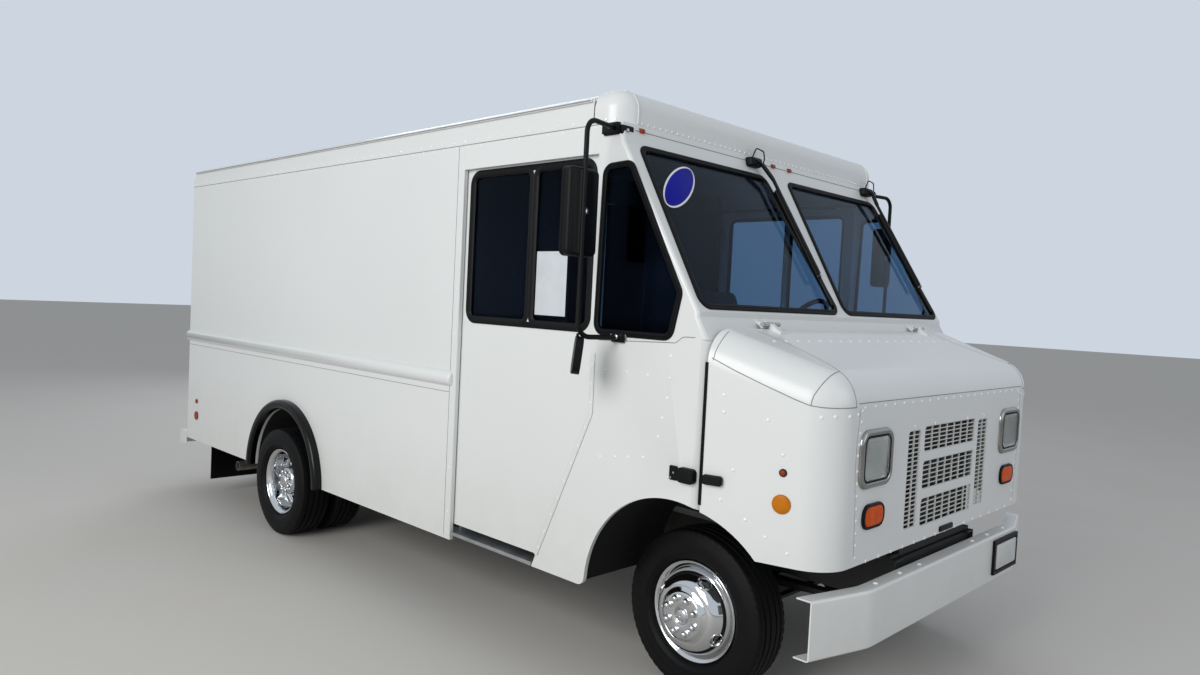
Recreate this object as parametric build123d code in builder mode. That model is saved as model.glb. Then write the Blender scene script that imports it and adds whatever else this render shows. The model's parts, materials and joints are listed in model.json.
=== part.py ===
"""Walk-in step van with a short hood, sliding cab doors and twin rear wheels, in millimetres.

X runs across the truck, Y along it with the front at -Y, and Z up from the ground.
"""
import os
from math import cos, radians, sin, sqrt, tan

from build123d import *

os.makedirs("parts", exist_ok=True)

# Body stations along Y and levels along Z
BODY_WIDTH = 2376.0
BODY_REAR = 2914.0
SIDE_BOTTOM = 409.0
QUARTER_BOTTOM = 437.0
RAIL_SEAM_Z = 2524.0
GUTTER_RISE = 116.0
ROOF_CROWN = 50.0
SKIN = 20.0
LINER_GAP = 48.0
LINER = 10.0
FLOOR_TOP = 740.0
FLOOR_THICK = 40.0
DECK_RISE = 12.0
HALF = BODY_WIDTH / 2
SKIN_IN = HALF - SKIN
LINER_OUT = SKIN_IN - LINER_GAP
LINER_IN = LINER_OUT - LINER
GUTTER_Z = RAIL_SEAM_Z + GUTTER_RISE
ROOF_TOP_Z = GUTTER_Z + ROOF_CROWN
CAB_FLOOR = FLOOR_TOP - DECK_RISE
FLOOR_LOW = FLOOR_TOP - FLOOR_THICK

# Cab front: header, leaning windshield and cowl
HEADER_Y = -1991.0
WS_TOP_Y = -2012.0
WS_TOP_Z = RAIL_SEAM_Z - 86.0
WS_FOOT_Y = -2468.0
WS_FOOT_Z = 1711.0
COWL_LEDGE_Z = 1690.0
COWL_FRONT_Y = -2521.0
COWL_FRONT_Z = 1600.0
FRONT_WALL = 20.0
POST_RETURN = 45.0
POST_R = 40.0
PILLAR_R = 18.0
QUARTER_TOE_R = 40.0

# Windshield panes, measured along the slope from the top edge of the leaning face
PANE_TOP = 22.0
PANE_FOOT = 26.0
PANE_OUT_TOP = HALF - 98.0
PANE_OUT_LOW = HALF - 46.0
PANE_IN_TOP = 118.0
PANE_IN_LOW = 38.0
PANE_RADIUS = 45.0
GLASS = 6.0
GLASS_FIT = 0.3

# Door opening and sliding cab door
DOOR_POST_Y = -871.0
DOOR_FRONT_Y = -1866.0
DOOR_HEAD_Z = RAIL_SEAM_Z - 132.0
DOOR_KNEE_Z = 1217.0
DOOR_FOOT_Y = -1538.0
DOOR_BOTTOM = 493.0
DOOR_THICK = 28.0
DOOR_GAP = 8.0
DOOR_LAP = 15.0
DOOR_TRAVEL = 750.0
DOOR_WIN_REAR = DOOR_POST_Y - 39.0
DOOR_WIN_FRONT = DOOR_FRONT_Y + 46.0
DOOR_WIN_LOW = 1600.0
DOOR_WIN_HIGH = DOOR_HEAD_Z - 22.0
DOOR_WIN_RADIUS = 60.0
DOOR_WIN_BAR_Y = (DOOR_WIN_REAR + DOOR_WIN_FRONT) / 2 - 35.0
DOOR_WIN_BAR = 26.0

# Quarter window in the cab side, (y, z) corners
QUARTER_WINDOW = (
    (DOOR_FRONT_Y - 48.0, WS_TOP_Z - 110.0),
    (WS_TOP_Y - 54.0, WS_TOP_Z - 104.0),
    (WS_FOOT_Y + 96.0, WS_FOOT_Z + 73.0),
    (WS_FOOT_Y + 138.0, COWL_LEDGE_Z - 93.0),
    (DOOR_FRONT_Y - 34.0, COWL_LEDGE_Z - 93.0),
)
QUARTER_RADIUS = 42.0

# Engine cover inside the cab, over an opening in floor and firewall
COVER_HALF = 330.0
COVER_HIGH = 1190.0
COVER_REAR = -1740.0
COVER_WALL = 10.0
COVER_R = 90.0
COVER_RIM_R = 60.0

# Hood
HOOD_GAP = 6.0
HOOD_FRONT_Y = -3039.0
HOOD_BOTTOM = 757.0
HOOD_TAPER = 14.3
HOOD_REAR_Z = 1650.0
HOOD_SLOPE = 18.0
HOOD_CORNER_R = 168.0
HOOD_SHOULDER_R = 145.0
HOOD_WALL = 8.0
HINGE_Y = COWL_FRONT_Y - 3.0
HINGE_Z = 1668.0
HINGE_X = 745.0
HINGE_R = 8.0
HINGE_PIN_R = 4.0
HINGE_PIN_FIT = 0.4
HINGE_LEAF = 30.0

# Grille, lamps of the hood
GRILLE_HALF = 285.0
GRILLE_ROWS = ((1262.0, 1148.0), (1110.0, 983.0), (945.0, 820.0))
SLOT_IN = 322.0
SLOT_OUT = 445.0
SLOT_LOW = 830.0
SLOT_HIGH = 1252.0
GRILLE_R = 22.0
MESH_BAR = 12.0
MESH_DEPTH = 4.0
HEADLAMP_X = HALF - 446.0
HEADLAMP_Z = 1170.0
HEADLAMP_W = 292.0
HEADLAMP_H = 250.0
HEADLAMP_RIM = 30.0
HEADLAMP_R = 50.0
TURN_X = HALF - 448.0
TURN_Z = 940.0
TURN_W = 196.0
TURN_H = 122.0
TURN_R = 34.0
LAMP_PROUD = 14.0
SIDE_LAMP_Y = HOOD_FRONT_Y + 190.0
SIDE_LAMP_Z = 1116.0
SIDE_LAMP_R = 19.0
SIDE_REFLECTOR_Z = 995.0
SIDE_REFLECTOR_R = 41.0
LATCH_Z = 1047.0
LATCH_Y = COWL_FRONT_Y - 55.0
LATCH_LENGTH = 84.0
LATCH_HIGH = 40.0
LATCH_PROUD = 22.0
KEEPER_Y = COWL_FRONT_Y + 73.0
KEEPER_W = 52.0

# Wheels
WHEELBASE = 3386.0
FRONT_AXLE_Y = -2297.0
REAR_AXLE_Y = FRONT_AXLE_Y + WHEELBASE
TYRE_R = 368.0
TYRE_W = 224.0
TREAD_HALF = 92.0
RIM_R = 226.0
BEAD_R = 204.0
RIM_HALF = 82.0
RIM_WALL = 8.0
FRONT_TYRE_X = 802.0
REAR_OUTER_X = 1130.0
TWIN_SPACING = 262.0
KINGPIN_X = 655.0
HUB_R = 62.0
SPINDLE_R = 30.0
SPINDLE_FIT = 0.5
SPINDLE_REACH = 92.0

# Wheel arches
FRONT_ARCH_Y = FRONT_AXLE_Y - 89.0
FRONT_ARCH_Z = 440.0
FRONT_ARCH_R = 490.0
HOUSING_Y = FRONT_AXLE_Y - 63.0
HOUSING_R = FRONT_ARCH_R + 26.0
HOUSING_WALL = 6.0
HOUSING_IN_X = FRONT_TYRE_X - 212.0
REAR_ARCH_Z = 400.0
REAR_ARCH_R = 475.0
REAR_HOUSING_IN_X = REAR_OUTER_X - TWIN_SPACING - TYRE_W / 2 - 21.0
FLARE_R = REAR_ARCH_R + 63.0
FLARE_PROUD = 54.0

# Chassis
AXLE_R = 60.0
DIFF_R = 160.0
RAIL_X = 432.0
RAIL_W = 70.0
RAIL_LOW = 500.0
RAIL_HIGH = 690.0
RAIL_WALL = 8.0
RAIL_REAR = BODY_REAR + 16.0

# Bumpers
BUMPER_FACE_Y = HOOD_FRONT_Y - 53.0
RAIL_FRONT = BUMPER_FACE_Y + 82.0
BUMPER_LOW = 433.0
BUMPER_HIGH = 664.0
BUMPER_END_X = HALF - 78.0
BUMPER_BEND_X = BUMPER_END_X - 310.0
BUMPER_SWEEP = 85.0
BUMPER_DEPTH = 66.0
BUMPER_WALL = 6.0
BUMPER_BEND_R = 260.0
BUMPER_EDGE_R = 12.0
PLATE_X = 640.0
PLATE_Z = 556.0
PLATE_PROUD = 13.0
PLATE_W = 320.0
PLATE_H = 172.0
PLATE_HOLE_SPACING = 177.8
PLATE_HOLE_RISE = 50.0
PLATE_HOLE_R = 3.5
REAR_BUMPER_FRONT = BODY_REAR + 46.0
REAR_BUMPER_DEEP = 145.0
REAR_BUMPER_LOW = 335.0
REAR_BUMPER_HIGH = 450.0
REAR_BUMPER_HALF = HALF - 12.0
FRONT_END = BUMPER_FACE_Y - PLATE_PROUD
REAR_END = REAR_BUMPER_FRONT + REAR_BUMPER_DEEP

# Rear doors
REAR_WALL = 34.0
REAR_OPEN_HALF = HALF - 407.0
REAR_OPEN_HIGH = RAIL_SEAM_Z - 104.0
REAR_DOOR_GAP = 5.0
REAR_DOOR_THICK = 36.0
REAR_HINGE_OUT = 12.0
REAR_HINGE_R = 10.0
REAR_HINGE_X = REAR_OPEN_HALF - 2.0
REAR_HINGES_Z = (
    FLOOR_TOP + 180.0,
    (FLOOR_TOP + REAR_OPEN_HIGH) / 2,
    REAR_OPEN_HIGH - 180.0,
)
REAR_KNUCKLE = 45.0
REAR_END_KNUCKLE = 11.0
REAR_PIN_R = 4.6
REAR_PIN_FIT = 0.4


def cuboid(x0, x1, y0, y1, z0, z1, mode=Mode.ADD):
    """Adds a box between two corners to the open part."""
    with Locations(((x0 + x1) / 2, (y0 + y1) / 2, (z0 + z1) / 2)):
        Box(abs(x1 - x0), abs(y1 - y0), abs(z1 - z0), mode=mode)


def prism_x(points, x0, x1, mode=Mode.ADD, radius=0.0):
    """Extrudes a (y, z) outline from x0 to x1."""
    with BuildSketch(Plane.YZ.offset(x0)) as outline:
        with BuildLine():
            Polyline(*points, close=True)
        make_face()
        if radius:
            fillet(outline.vertices(), radius)
    extrude(outline.sketch, amount=x1 - x0, mode=mode)


def prism_y(points, y0, y1, mode=Mode.ADD, radius=0.0):
    """Extrudes an (x, z) outline from y0 to y1."""
    with BuildSketch(Plane.XZ.offset(-y0)) as outline:
        with BuildLine():
            Polyline(*points, close=True)
        make_face()
        if radius:
            fillet(outline.vertices(), radius)
    extrude(outline.sketch, amount=y0 - y1, mode=mode)


def prism_z(points, z0, z1, mode=Mode.ADD):
    """Extrudes an (x, y) outline from z0 to z1."""
    with BuildSketch(Plane.XY.offset(z0)) as outline:
        with BuildLine():
            Polyline(*points, close=True)
        make_face()
    extrude(outline.sketch, amount=z1 - z0, mode=mode)


def barrel_x(x0, x1, y, z, radius, mode=Mode.ADD):
    """Adds a cylinder along X."""
    with Locations(Location(((x0 + x1) / 2, y, z), (0, 90, 0))):
        Cylinder(radius, abs(x1 - x0), mode=mode)


def barrel_y(x, y0, y1, z, radius, mode=Mode.ADD):
    """Adds a cylinder along Y."""
    with Locations(Location((x, (y0 + y1) / 2, z), (90, 0, 0))):
        Cylinder(radius, abs(y1 - y0), mode=mode)


def barrel_z(x, y, z0, z1, radius, mode=Mode.ADD):
    """Adds a cylinder along Z."""
    with Locations((x, y, (z0 + z1) / 2)):
        Cylinder(radius, abs(z1 - z0), mode=mode)


def rod(start, end, radius, mode=Mode.ADD):
    """Adds a round bar between two points."""
    axis = Vector(*end) - Vector(*start)
    with BuildSketch(Plane(origin=start, z_dir=axis)) as section:
        Circle(radius)
    extrude(section.sketch, amount=axis.length, mode=mode)


def tube(points, radius, bend):
    """Sweeps a round bar along straight runs joined by bends."""
    with BuildLine() as path:
        FilletPolyline(*points, radius=bend)
    with BuildSketch(path.line ^ 0) as section:
        Circle(radius)
    sweep(section.sketch, path=path.line)


def spin_x(points, x, y, z, mode=Mode.ADD):
    """Turns an (axial, radial) outline round an axis along X through (y, z)."""
    with BuildSketch(Plane(origin=(x, y, z), x_dir=(1, 0, 0), z_dir=(0, -1, 0))) as outline:
        with BuildLine():
            Polyline(*points, close=True)
        make_face()
    axis = Axis((x, y, z), (1, 0, 0))
    revolve(outline.sketch, axis=axis, mode=mode)


def save(builder, name):
    """Labels a finished part and writes its file."""
    builder.part.label = name
    export_step(builder.part, f"parts/{name}.step")


SIDES = (("right", -1), ("left", 1))

# Outline of the door opening and of the door, which laps behind its edges
door_opening = (
    (DOOR_POST_Y, QUARTER_BOTTOM),
    (DOOR_POST_Y, DOOR_HEAD_Z),
    (DOOR_FRONT_Y, DOOR_HEAD_Z),
    (DOOR_FRONT_Y, DOOR_KNEE_Z),
    (DOOR_FOOT_Y, QUARTER_BOTTOM),
)
knee_slope = (DOOR_FOOT_Y - DOOR_FRONT_Y) / (DOOR_KNEE_Z - QUARTER_BOTTOM)
door_foot_y = DOOR_FOOT_Y - DOOR_LAP - knee_slope * (DOOR_BOTTOM - QUARTER_BOTTOM)
door_outline = (
    (DOOR_POST_Y + DOOR_LAP, DOOR_BOTTOM),
    (DOOR_POST_Y + DOOR_LAP, DOOR_HEAD_Z + DOOR_LAP),
    (DOOR_FRONT_Y - DOOR_LAP, DOOR_HEAD_Z + DOOR_LAP),
    (DOOR_FRONT_Y - DOOR_LAP, DOOR_KNEE_Z),
    (door_foot_y, DOOR_BOTTOM),
)
door_window = (
    (DOOR_WIN_REAR, DOOR_WIN_LOW),
    (DOOR_WIN_REAR, DOOR_WIN_HIGH),
    (DOOR_WIN_FRONT, DOOR_WIN_HIGH),
    (DOOR_WIN_FRONT, DOOR_WIN_LOW),
)

# Body side skins with door, window and wheel openings
side_outline = (
    (BODY_REAR, SIDE_BOTTOM),
    (BODY_REAR, RAIL_SEAM_Z),
    (HEADER_Y, RAIL_SEAM_Z),
    (WS_TOP_Y, WS_TOP_Z),
    (WS_FOOT_Y, WS_FOOT_Z),
    (WS_FOOT_Y, COWL_LEDGE_Z),
    (COWL_FRONT_Y, COWL_FRONT_Z),
    (COWL_FRONT_Y, QUARTER_BOTTOM),
    (DOOR_POST_Y, QUARTER_BOTTOM),
    (DOOR_POST_Y, SIDE_BOTTOM),
)
for name, sx in SIDES:
    with BuildPart() as post_flange:
        cuboid(sx * (HALF - POST_RETURN), sx * SKIN_IN, COWL_FRONT_Y, COWL_FRONT_Y + FRONT_WALL,
               FRONT_ARCH_Z, COWL_FRONT_Z)
        barrel_x(sx * 900, sx * 1300, HOUSING_Y, FRONT_ARCH_Z, HOUSING_R + HOUSING_WALL, Mode.SUBTRACT)
    with BuildPart() as post_corner:
        cuboid(sx * (HALF - POST_R), sx * (HALF + 5), COWL_FRONT_Y - 5, COWL_FRONT_Y + POST_R,
               QUARTER_BOTTOM, COWL_FRONT_Z)
        barrel_z(sx * (HALF - POST_R), COWL_FRONT_Y + POST_R, QUARTER_BOTTOM, COWL_FRONT_Z, POST_R,
                 Mode.SUBTRACT)
    with BuildPart() as side_panel:
        prism_x(side_outline, sx * SKIN_IN, sx * HALF)
        pillar = side_panel.edges().filter_by(
            lambda edge: abs(edge.center().X) > HALF - 1
            and COWL_FRONT_Z < edge.center().Z < RAIL_SEAM_Z
            and edge.center().Y < HEADER_Y
        )
        fillet(pillar, PILLAR_R)
        prism_x(door_opening, sx * (SKIN_IN - 5), sx * (HALF + 5), Mode.SUBTRACT)
        prism_x(QUARTER_WINDOW, sx * (SKIN_IN - 5), sx * (HALF + 5), Mode.SUBTRACT, QUARTER_RADIUS)
        barrel_x(sx * 900, sx * 1300, FRONT_ARCH_Y, FRONT_ARCH_Z, FRONT_ARCH_R, Mode.SUBTRACT)
        barrel_x(sx * 900, sx * 1300, REAR_AXLE_Y, REAR_ARCH_Z, REAR_ARCH_R, Mode.SUBTRACT)
        toe = side_panel.edges().filter_by(Axis.X).filter_by(
            lambda edge: abs(edge.center().Z - QUARTER_BOTTOM) < 1
            and FRONT_ARCH_Y < edge.center().Y < DOOR_FOOT_Y - 50
        )
        fillet(toe, QUARTER_TOE_R)
        add(post_flange.part)
        add(post_corner.part, mode=Mode.SUBTRACT)
        cuboid(sx * HALF, sx * (HALF + LATCH_PROUD), KEEPER_Y - KEEPER_W / 2, KEEPER_Y + KEEPER_W / 2,
               LATCH_Z - LATCH_HIGH / 2, LATCH_Z + LATCH_HIGH / 2)
    save(side_panel, f"side_panel_{name}")

with BuildPart() as quarter_glass:
    for name, sx in SIDES:
        with BuildSketch(Plane.YZ.offset(sx * (HALF - 8))) as pane:
            with BuildLine():
                Polyline(*QUARTER_WINDOW, close=True)
            make_face()
            fillet(pane.vertices(), QUARTER_RADIUS)
            offset(amount=-GLASS_FIT, mode=Mode.REPLACE)
        extrude(pane.sketch, amount=-sx * GLASS)
save(quarter_glass, "quarter_glass")

# Inner side walls, which leave the pocket that the cab door slides into, on posts behind its reach
POST_W = 40.0
POST_AFT = REAR_AXLE_Y + 541.0
POST_LAST = BODY_REAR - 314.0
POST_STATIONS = (
    DOOR_POST_Y + DOOR_TRAVEL + 241.0,
    REAR_AXLE_Y - 529.0,
    POST_AFT,
    (POST_AFT + POST_LAST) / 2,
    POST_LAST,
)
TRACK_H = 16.0
TRACK_GAP = 6.0
ROLLER_R = 8.0
ROLLER_FIT = 0.4
ROLLER_RISE = 9.0
ROLLERS_Y = (DOOR_FRONT_Y + 100, DOOR_POST_Y - 60)
roller_x = SKIN_IN - DOOR_GAP - DOOR_THICK / 2
with BuildPart() as side_liners:
    for name, sx in SIDES:
        cuboid(sx * LINER_IN, sx * LINER_OUT, DOOR_POST_Y + 20, BODY_REAR - REAR_WALL,
               DOOR_BOTTOM - 30, RAIL_SEAM_Z)
        barrel_x(sx * 900, sx * 1300, REAR_AXLE_Y, REAR_ARCH_Z,
                 REAR_ARCH_R + HOUSING_WALL + GLASS_FIT, Mode.SUBTRACT)
        for y in POST_STATIONS:
            cuboid(sx * LINER_OUT, sx * SKIN_IN, y - POST_W / 2, y + POST_W / 2,
                   REAR_ARCH_Z + 110, RAIL_SEAM_Z)
        track_z = DOOR_HEAD_Z + DOOR_LAP + TRACK_GAP
        cuboid(sx * LINER_OUT, sx * SKIN_IN, DOOR_FRONT_Y - DOOR_LAP, DOOR_POST_Y + DOOR_TRAVEL,
               track_z, track_z + TRACK_H)
        cuboid(sx * (roller_x - ROLLER_R - ROLLER_FIT), sx * (roller_x + ROLLER_R + ROLLER_FIT),
               DOOR_FRONT_Y, DOOR_POST_Y + DOOR_TRAVEL - 20, track_z - 5, track_z + ROLLER_RISE + 1,
               Mode.SUBTRACT)
        cuboid(sx * LINER_OUT, sx * SKIN_IN, DOOR_POST_Y + 20, DOOR_POST_Y + DOOR_TRAVEL,
               DOOR_BOTTOM - TRACK_GAP - TRACK_H, DOOR_BOTTOM - TRACK_GAP)
save(side_liners, "side_liners")

# Rub rails, half round, along the side behind the door
RUB_LOW = 1236.0
RUB_HIGH = 1321.0
RUB_PROUD = 32.0
RUB_NOSE_R = 20.0
with BuildPart() as rub_rails:
    for name, sx in SIDES:
        with BuildSketch(Plane.XZ.offset(-BODY_REAR)) as section:
            with BuildLine():
                ThreePointArc((sx * HALF, RUB_LOW), (sx * (HALF + RUB_PROUD), (RUB_LOW + RUB_HIGH) / 2),
                              (sx * HALF, RUB_HIGH))
                Line((sx * HALF, RUB_HIGH), (sx * HALF, RUB_LOW))
            make_face()
        extrude(section.sketch, amount=BODY_REAR - DOOR_POST_Y - 26)
    noses = rub_rails.edges().filter_by(
        lambda edge: edge.center().Y < DOOR_POST_Y + 27 and abs(edge.center().X) > HALF + 1
    )
    fillet(noses, RUB_NOSE_R)
save(rub_rails, "rub_rails")

# Roof skin with side rails and drip gutters
ROOF_CAP_REAR = -1820.0
ROOF_WALL = 18.0
ROOF_TAIL_LONG = 200.0
ROOF_TAIL_HIGH = 155.0
GUTTER_DEPTH = 12.0
GUTTER_HIGH = 14.0
GUTTER_SHORT = 60.0


def roof_outline(inset):
    """Gives the roof's cross-section points, moved in by the wall."""
    half = HALF - inset
    crown = ROOF_TOP_Z - inset
    return (
        (-half, RAIL_SEAM_Z),
        (-half, GUTTER_Z - inset / 2),
        (-half + 40, GUTTER_Z + 22 - inset),
        (-half / 2, crown - 9),
        (0, crown),
        (half / 2, crown - 9),
        (half - 40, GUTTER_Z + 22 - inset),
        (half, GUTTER_Z - inset / 2),
        (half, RAIL_SEAM_Z),
    )


def roof_form(inset, front, rear):
    """Gives the roof's block, moved in by the wall, with its rear end rolled down in a quarter ellipse."""
    with BuildPart() as block:
        prism_y(roof_outline(inset), front, rear)
        with BuildSketch(Plane.YZ.offset(-HALF)) as corner:
            with Locations((BODY_REAR - ROOF_TAIL_LONG, ROOF_TOP_Z - ROOF_TAIL_HIGH)):
                Rectangle(ROOF_TAIL_LONG + 5, ROOF_TAIL_HIGH + 5, align=(Align.MIN, Align.MIN))
                Ellipse(ROOF_TAIL_LONG - inset, ROOF_TAIL_HIGH - inset, mode=Mode.SUBTRACT)
        extrude(corner.sketch, amount=2 * HALF, mode=Mode.SUBTRACT)
    return block.part


with BuildPart() as roof:
    add(roof_form(0, ROOF_CAP_REAR, BODY_REAR))
    add(roof_form(ROOF_WALL, ROOF_CAP_REAR - 1, BODY_REAR - REAR_WALL), mode=Mode.SUBTRACT)
    for name, sx in SIDES:
        cuboid(sx * HALF, sx * (HALF + GUTTER_DEPTH), ROOF_CAP_REAR + 6, BODY_REAR - GUTTER_SHORT,
               GUTTER_Z - GUTTER_HIGH, GUTTER_Z)
save(roof, "roof")

# Front roof cap, a rolled front edge with rounded corner castings
CAP_ROLL_R = 120.0
CAP_CORNER_R = 110.0
CAP_TOP_Z = ROOF_TOP_Z - 4.0
CAP_WALL = 14.0


def cap_form(inset):
    """Adds the rounded block of the roof cap, moved in by the wall."""
    half = HALF - inset
    top = CAP_TOP_Z - inset
    front = HEADER_Y + inset
    with BuildPart() as block:
        cuboid(-half, half, front, ROOF_CAP_REAR, RAIL_SEAM_Z, top)
        uprights = block.edges().filter_by(Axis.Z).filter_by_position(Axis.Y, front - 1, front + 1)
        fillet(uprights, CAP_CORNER_R - inset)
        rim = block.faces().sort_by(Axis.Z)[-1].edges()
        rim = rim.filter_by(lambda edge: edge.center().Y < ROOF_CAP_REAR - 1)
        fillet(rim, CAP_ROLL_R - inset - 20)
    return block.part


with BuildPart() as roof_cap:
    add(cap_form(0))
    add(cap_form(CAP_WALL), mode=Mode.SUBTRACT)
save(roof_cap, "roof_cap")

# Cab front: header, leaning windshield face, cowl ledge and firewall in one pressed panel
lean_run = WS_FOOT_Y - WS_TOP_Y
lean_drop = WS_TOP_Z - WS_FOOT_Z
lean_length = sqrt(lean_run**2 + lean_drop**2)
pane_low = lean_length - PANE_FOOT
front_outer = (
    (HEADER_Y, RAIL_SEAM_Z),
    (WS_TOP_Y, WS_TOP_Z),
    (WS_FOOT_Y, WS_FOOT_Z),
    (WS_FOOT_Y, COWL_LEDGE_Z),
    (COWL_FRONT_Y, COWL_FRONT_Z),
    (COWL_FRONT_Y, FLOOR_LOW),
    (COWL_FRONT_Y + FRONT_WALL, FLOOR_LOW),
    (COWL_FRONT_Y + FRONT_WALL, COWL_FRONT_Z - 8),
    (WS_FOOT_Y + FRONT_WALL, COWL_LEDGE_Z - 12),
    (WS_FOOT_Y + FRONT_WALL, WS_FOOT_Z - 4),
    (WS_TOP_Y + FRONT_WALL + 2, WS_TOP_Z - 4),
    (HEADER_Y + FRONT_WALL, RAIL_SEAM_Z),
)
lean_plane = Plane(
    origin=(0, WS_TOP_Y, WS_TOP_Z),
    x_dir=(1, 0, 0),
    z_dir=Vector(0, -lean_drop, -lean_run).normalized(),
)


def pane_points(sx):
    """Gives one windshield pane's corners on the leaning face, y down the slope negative."""
    return (
        (sx * PANE_IN_TOP, -PANE_TOP),
        (sx * PANE_OUT_TOP, -PANE_TOP),
        (sx * PANE_OUT_LOW, -pane_low),
        (sx * PANE_IN_LOW, -pane_low),
    )


with BuildPart() as cowl:
    prism_x(front_outer, -SKIN_IN, SKIN_IN)
    for name, sx in SIDES:
        with BuildSketch(lean_plane.offset(10)) as aperture:
            with BuildLine():
                Polyline(*pane_points(sx), close=True)
            make_face()
            fillet(aperture.vertices(), PANE_RADIUS)
        extrude(aperture.sketch, amount=-80, mode=Mode.SUBTRACT)
        barrel_x(sx * HOUSING_IN_X, sx * 1300, HOUSING_Y, FRONT_ARCH_Z, HOUSING_R + HOUSING_WALL,
                 Mode.SUBTRACT)
        cuboid(sx * (HALF - POST_RETURN), sx * (SKIN_IN + 5), COWL_FRONT_Y - 5, COWL_FRONT_Y + FRONT_WALL,
               FRONT_ARCH_Z, COWL_FRONT_Z, Mode.SUBTRACT)
    cuboid(-COVER_HALF + COVER_WALL, COVER_HALF - COVER_WALL, COWL_FRONT_Y - 5,
           COWL_FRONT_Y + FRONT_WALL + 5, FLOOR_LOW - 5, COVER_HIGH - COVER_WALL, Mode.SUBTRACT)
    for x in (-HINGE_X, HINGE_X):
        for step in (-1, 1):
            centre = x + step * (HINGE_LEAF + 1)
            barrel_x(centre - HINGE_LEAF / 2, centre + HINGE_LEAF / 2, HINGE_Y, HINGE_Z, HINGE_R)
            prism_x(
                (
                    (HINGE_Y, HINGE_Z + 2),
                    (HINGE_Y, HINGE_Z - 6),
                    (COWL_FRONT_Y + 8, HINGE_Z - 20),
                    (WS_FOOT_Y + 4, COWL_LEDGE_Z - 8),
                    (WS_FOOT_Y + 4, COWL_LEDGE_Z - 2),
                ),
                centre - HINGE_LEAF / 2,
                centre + HINGE_LEAF / 2,
            )
        barrel_x(x - 1.4 * HINGE_LEAF, x + 1.4 * HINGE_LEAF, HINGE_Y, HINGE_Z, HINGE_PIN_R)
save(cowl, "cowl")

with BuildPart() as windshield:
    for name, sx in SIDES:
        with BuildSketch(lean_plane.offset(-6)) as pane:
            with BuildLine():
                Polyline(*pane_points(sx), close=True)
            make_face()
            fillet(pane.vertices(), PANE_RADIUS)
            offset(amount=-GLASS_FIT, mode=Mode.REPLACE)
        extrude(pane.sketch, amount=-GLASS)
save(windshield, "windshield")

# Sliding cab doors with a two-pane window
BAR_PROUD = 2.0
for name, sx in SIDES:
    outer_x = SKIN_IN - DOOR_GAP
    with BuildPart() as door:
        prism_x(door_outline, sx * (outer_x - DOOR_THICK), sx * outer_x)
        prism_x(door_window, sx * (outer_x - 100), sx * (outer_x + 5), Mode.SUBTRACT, DOOR_WIN_RADIUS)
        cuboid(sx * (outer_x - DOOR_THICK), sx * outer_x, DOOR_WIN_BAR_Y - DOOR_WIN_BAR / 2,
               DOOR_WIN_BAR_Y + DOOR_WIN_BAR / 2, DOOR_WIN_LOW - 5, DOOR_WIN_HIGH + 5)
        for y in ROLLERS_Y:
            barrel_z(sx * roller_x, y, DOOR_HEAD_Z + DOOR_LAP - 5,
                     DOOR_HEAD_Z + DOOR_LAP + TRACK_GAP + ROLLER_RISE, ROLLER_R)
    save(door, f"cab_door_{name}")

    with BuildPart() as door_glass:
        for y0, y1 in (
            (DOOR_WIN_FRONT, DOOR_WIN_BAR_Y - DOOR_WIN_BAR / 2),
            (DOOR_WIN_BAR_Y + DOOR_WIN_BAR / 2, DOOR_WIN_REAR),
        ):
            cuboid(sx * (outer_x - 16), sx * (outer_x - 16 + GLASS), y0 + GLASS_FIT, y1 - GLASS_FIT,
                   DOOR_WIN_LOW + GLASS_FIT, DOOR_WIN_HIGH - GLASS_FIT)
        edges = door_glass.edges().filter_by(Axis.X)
        corners = edges.filter_by(lambda edge: abs(edge.center().Y - DOOR_WIN_BAR_Y) > DOOR_WIN_BAR)
        fillet(corners, DOOR_WIN_RADIUS)
    save(door_glass, f"cab_door_glass_{name}")

# Step wells behind the doors, with treads that end in the bright sill strips
STEP_IN_X = HALF - 388.0
STEP_FRONT_Y = DOOR_FRONT_Y + 66.0
STEP_WALL = 8.0
SILL_H = 18.0
with BuildPart() as step_wells:
    for name, sx in SIDES:
        cuboid(sx * STEP_IN_X, sx * SKIN_IN, STEP_FRONT_Y, DOOR_POST_Y, QUARTER_BOTTOM,
               QUARTER_BOTTOM + SILL_H)
        cuboid(sx * (STEP_IN_X - STEP_WALL), sx * STEP_IN_X, STEP_FRONT_Y - STEP_WALL,
               DOOR_POST_Y + STEP_WALL, QUARTER_BOTTOM, FLOOR_LOW)
        cuboid(sx * STEP_IN_X, sx * LINER_OUT, STEP_FRONT_Y - STEP_WALL, STEP_FRONT_Y,
               QUARTER_BOTTOM, CAB_FLOOR)
        cuboid(sx * STEP_IN_X, sx * LINER_OUT, DOOR_POST_Y, DOOR_POST_Y + STEP_WALL,
               QUARTER_BOTTOM, FLOOR_LOW)
        cuboid(sx * SKIN_IN, sx * HALF, DOOR_FOOT_Y + 6, DOOR_POST_Y - 6, QUARTER_BOTTOM,
               QUARTER_BOTTOM + SILL_H)
save(step_wells, "step_wells")

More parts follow.
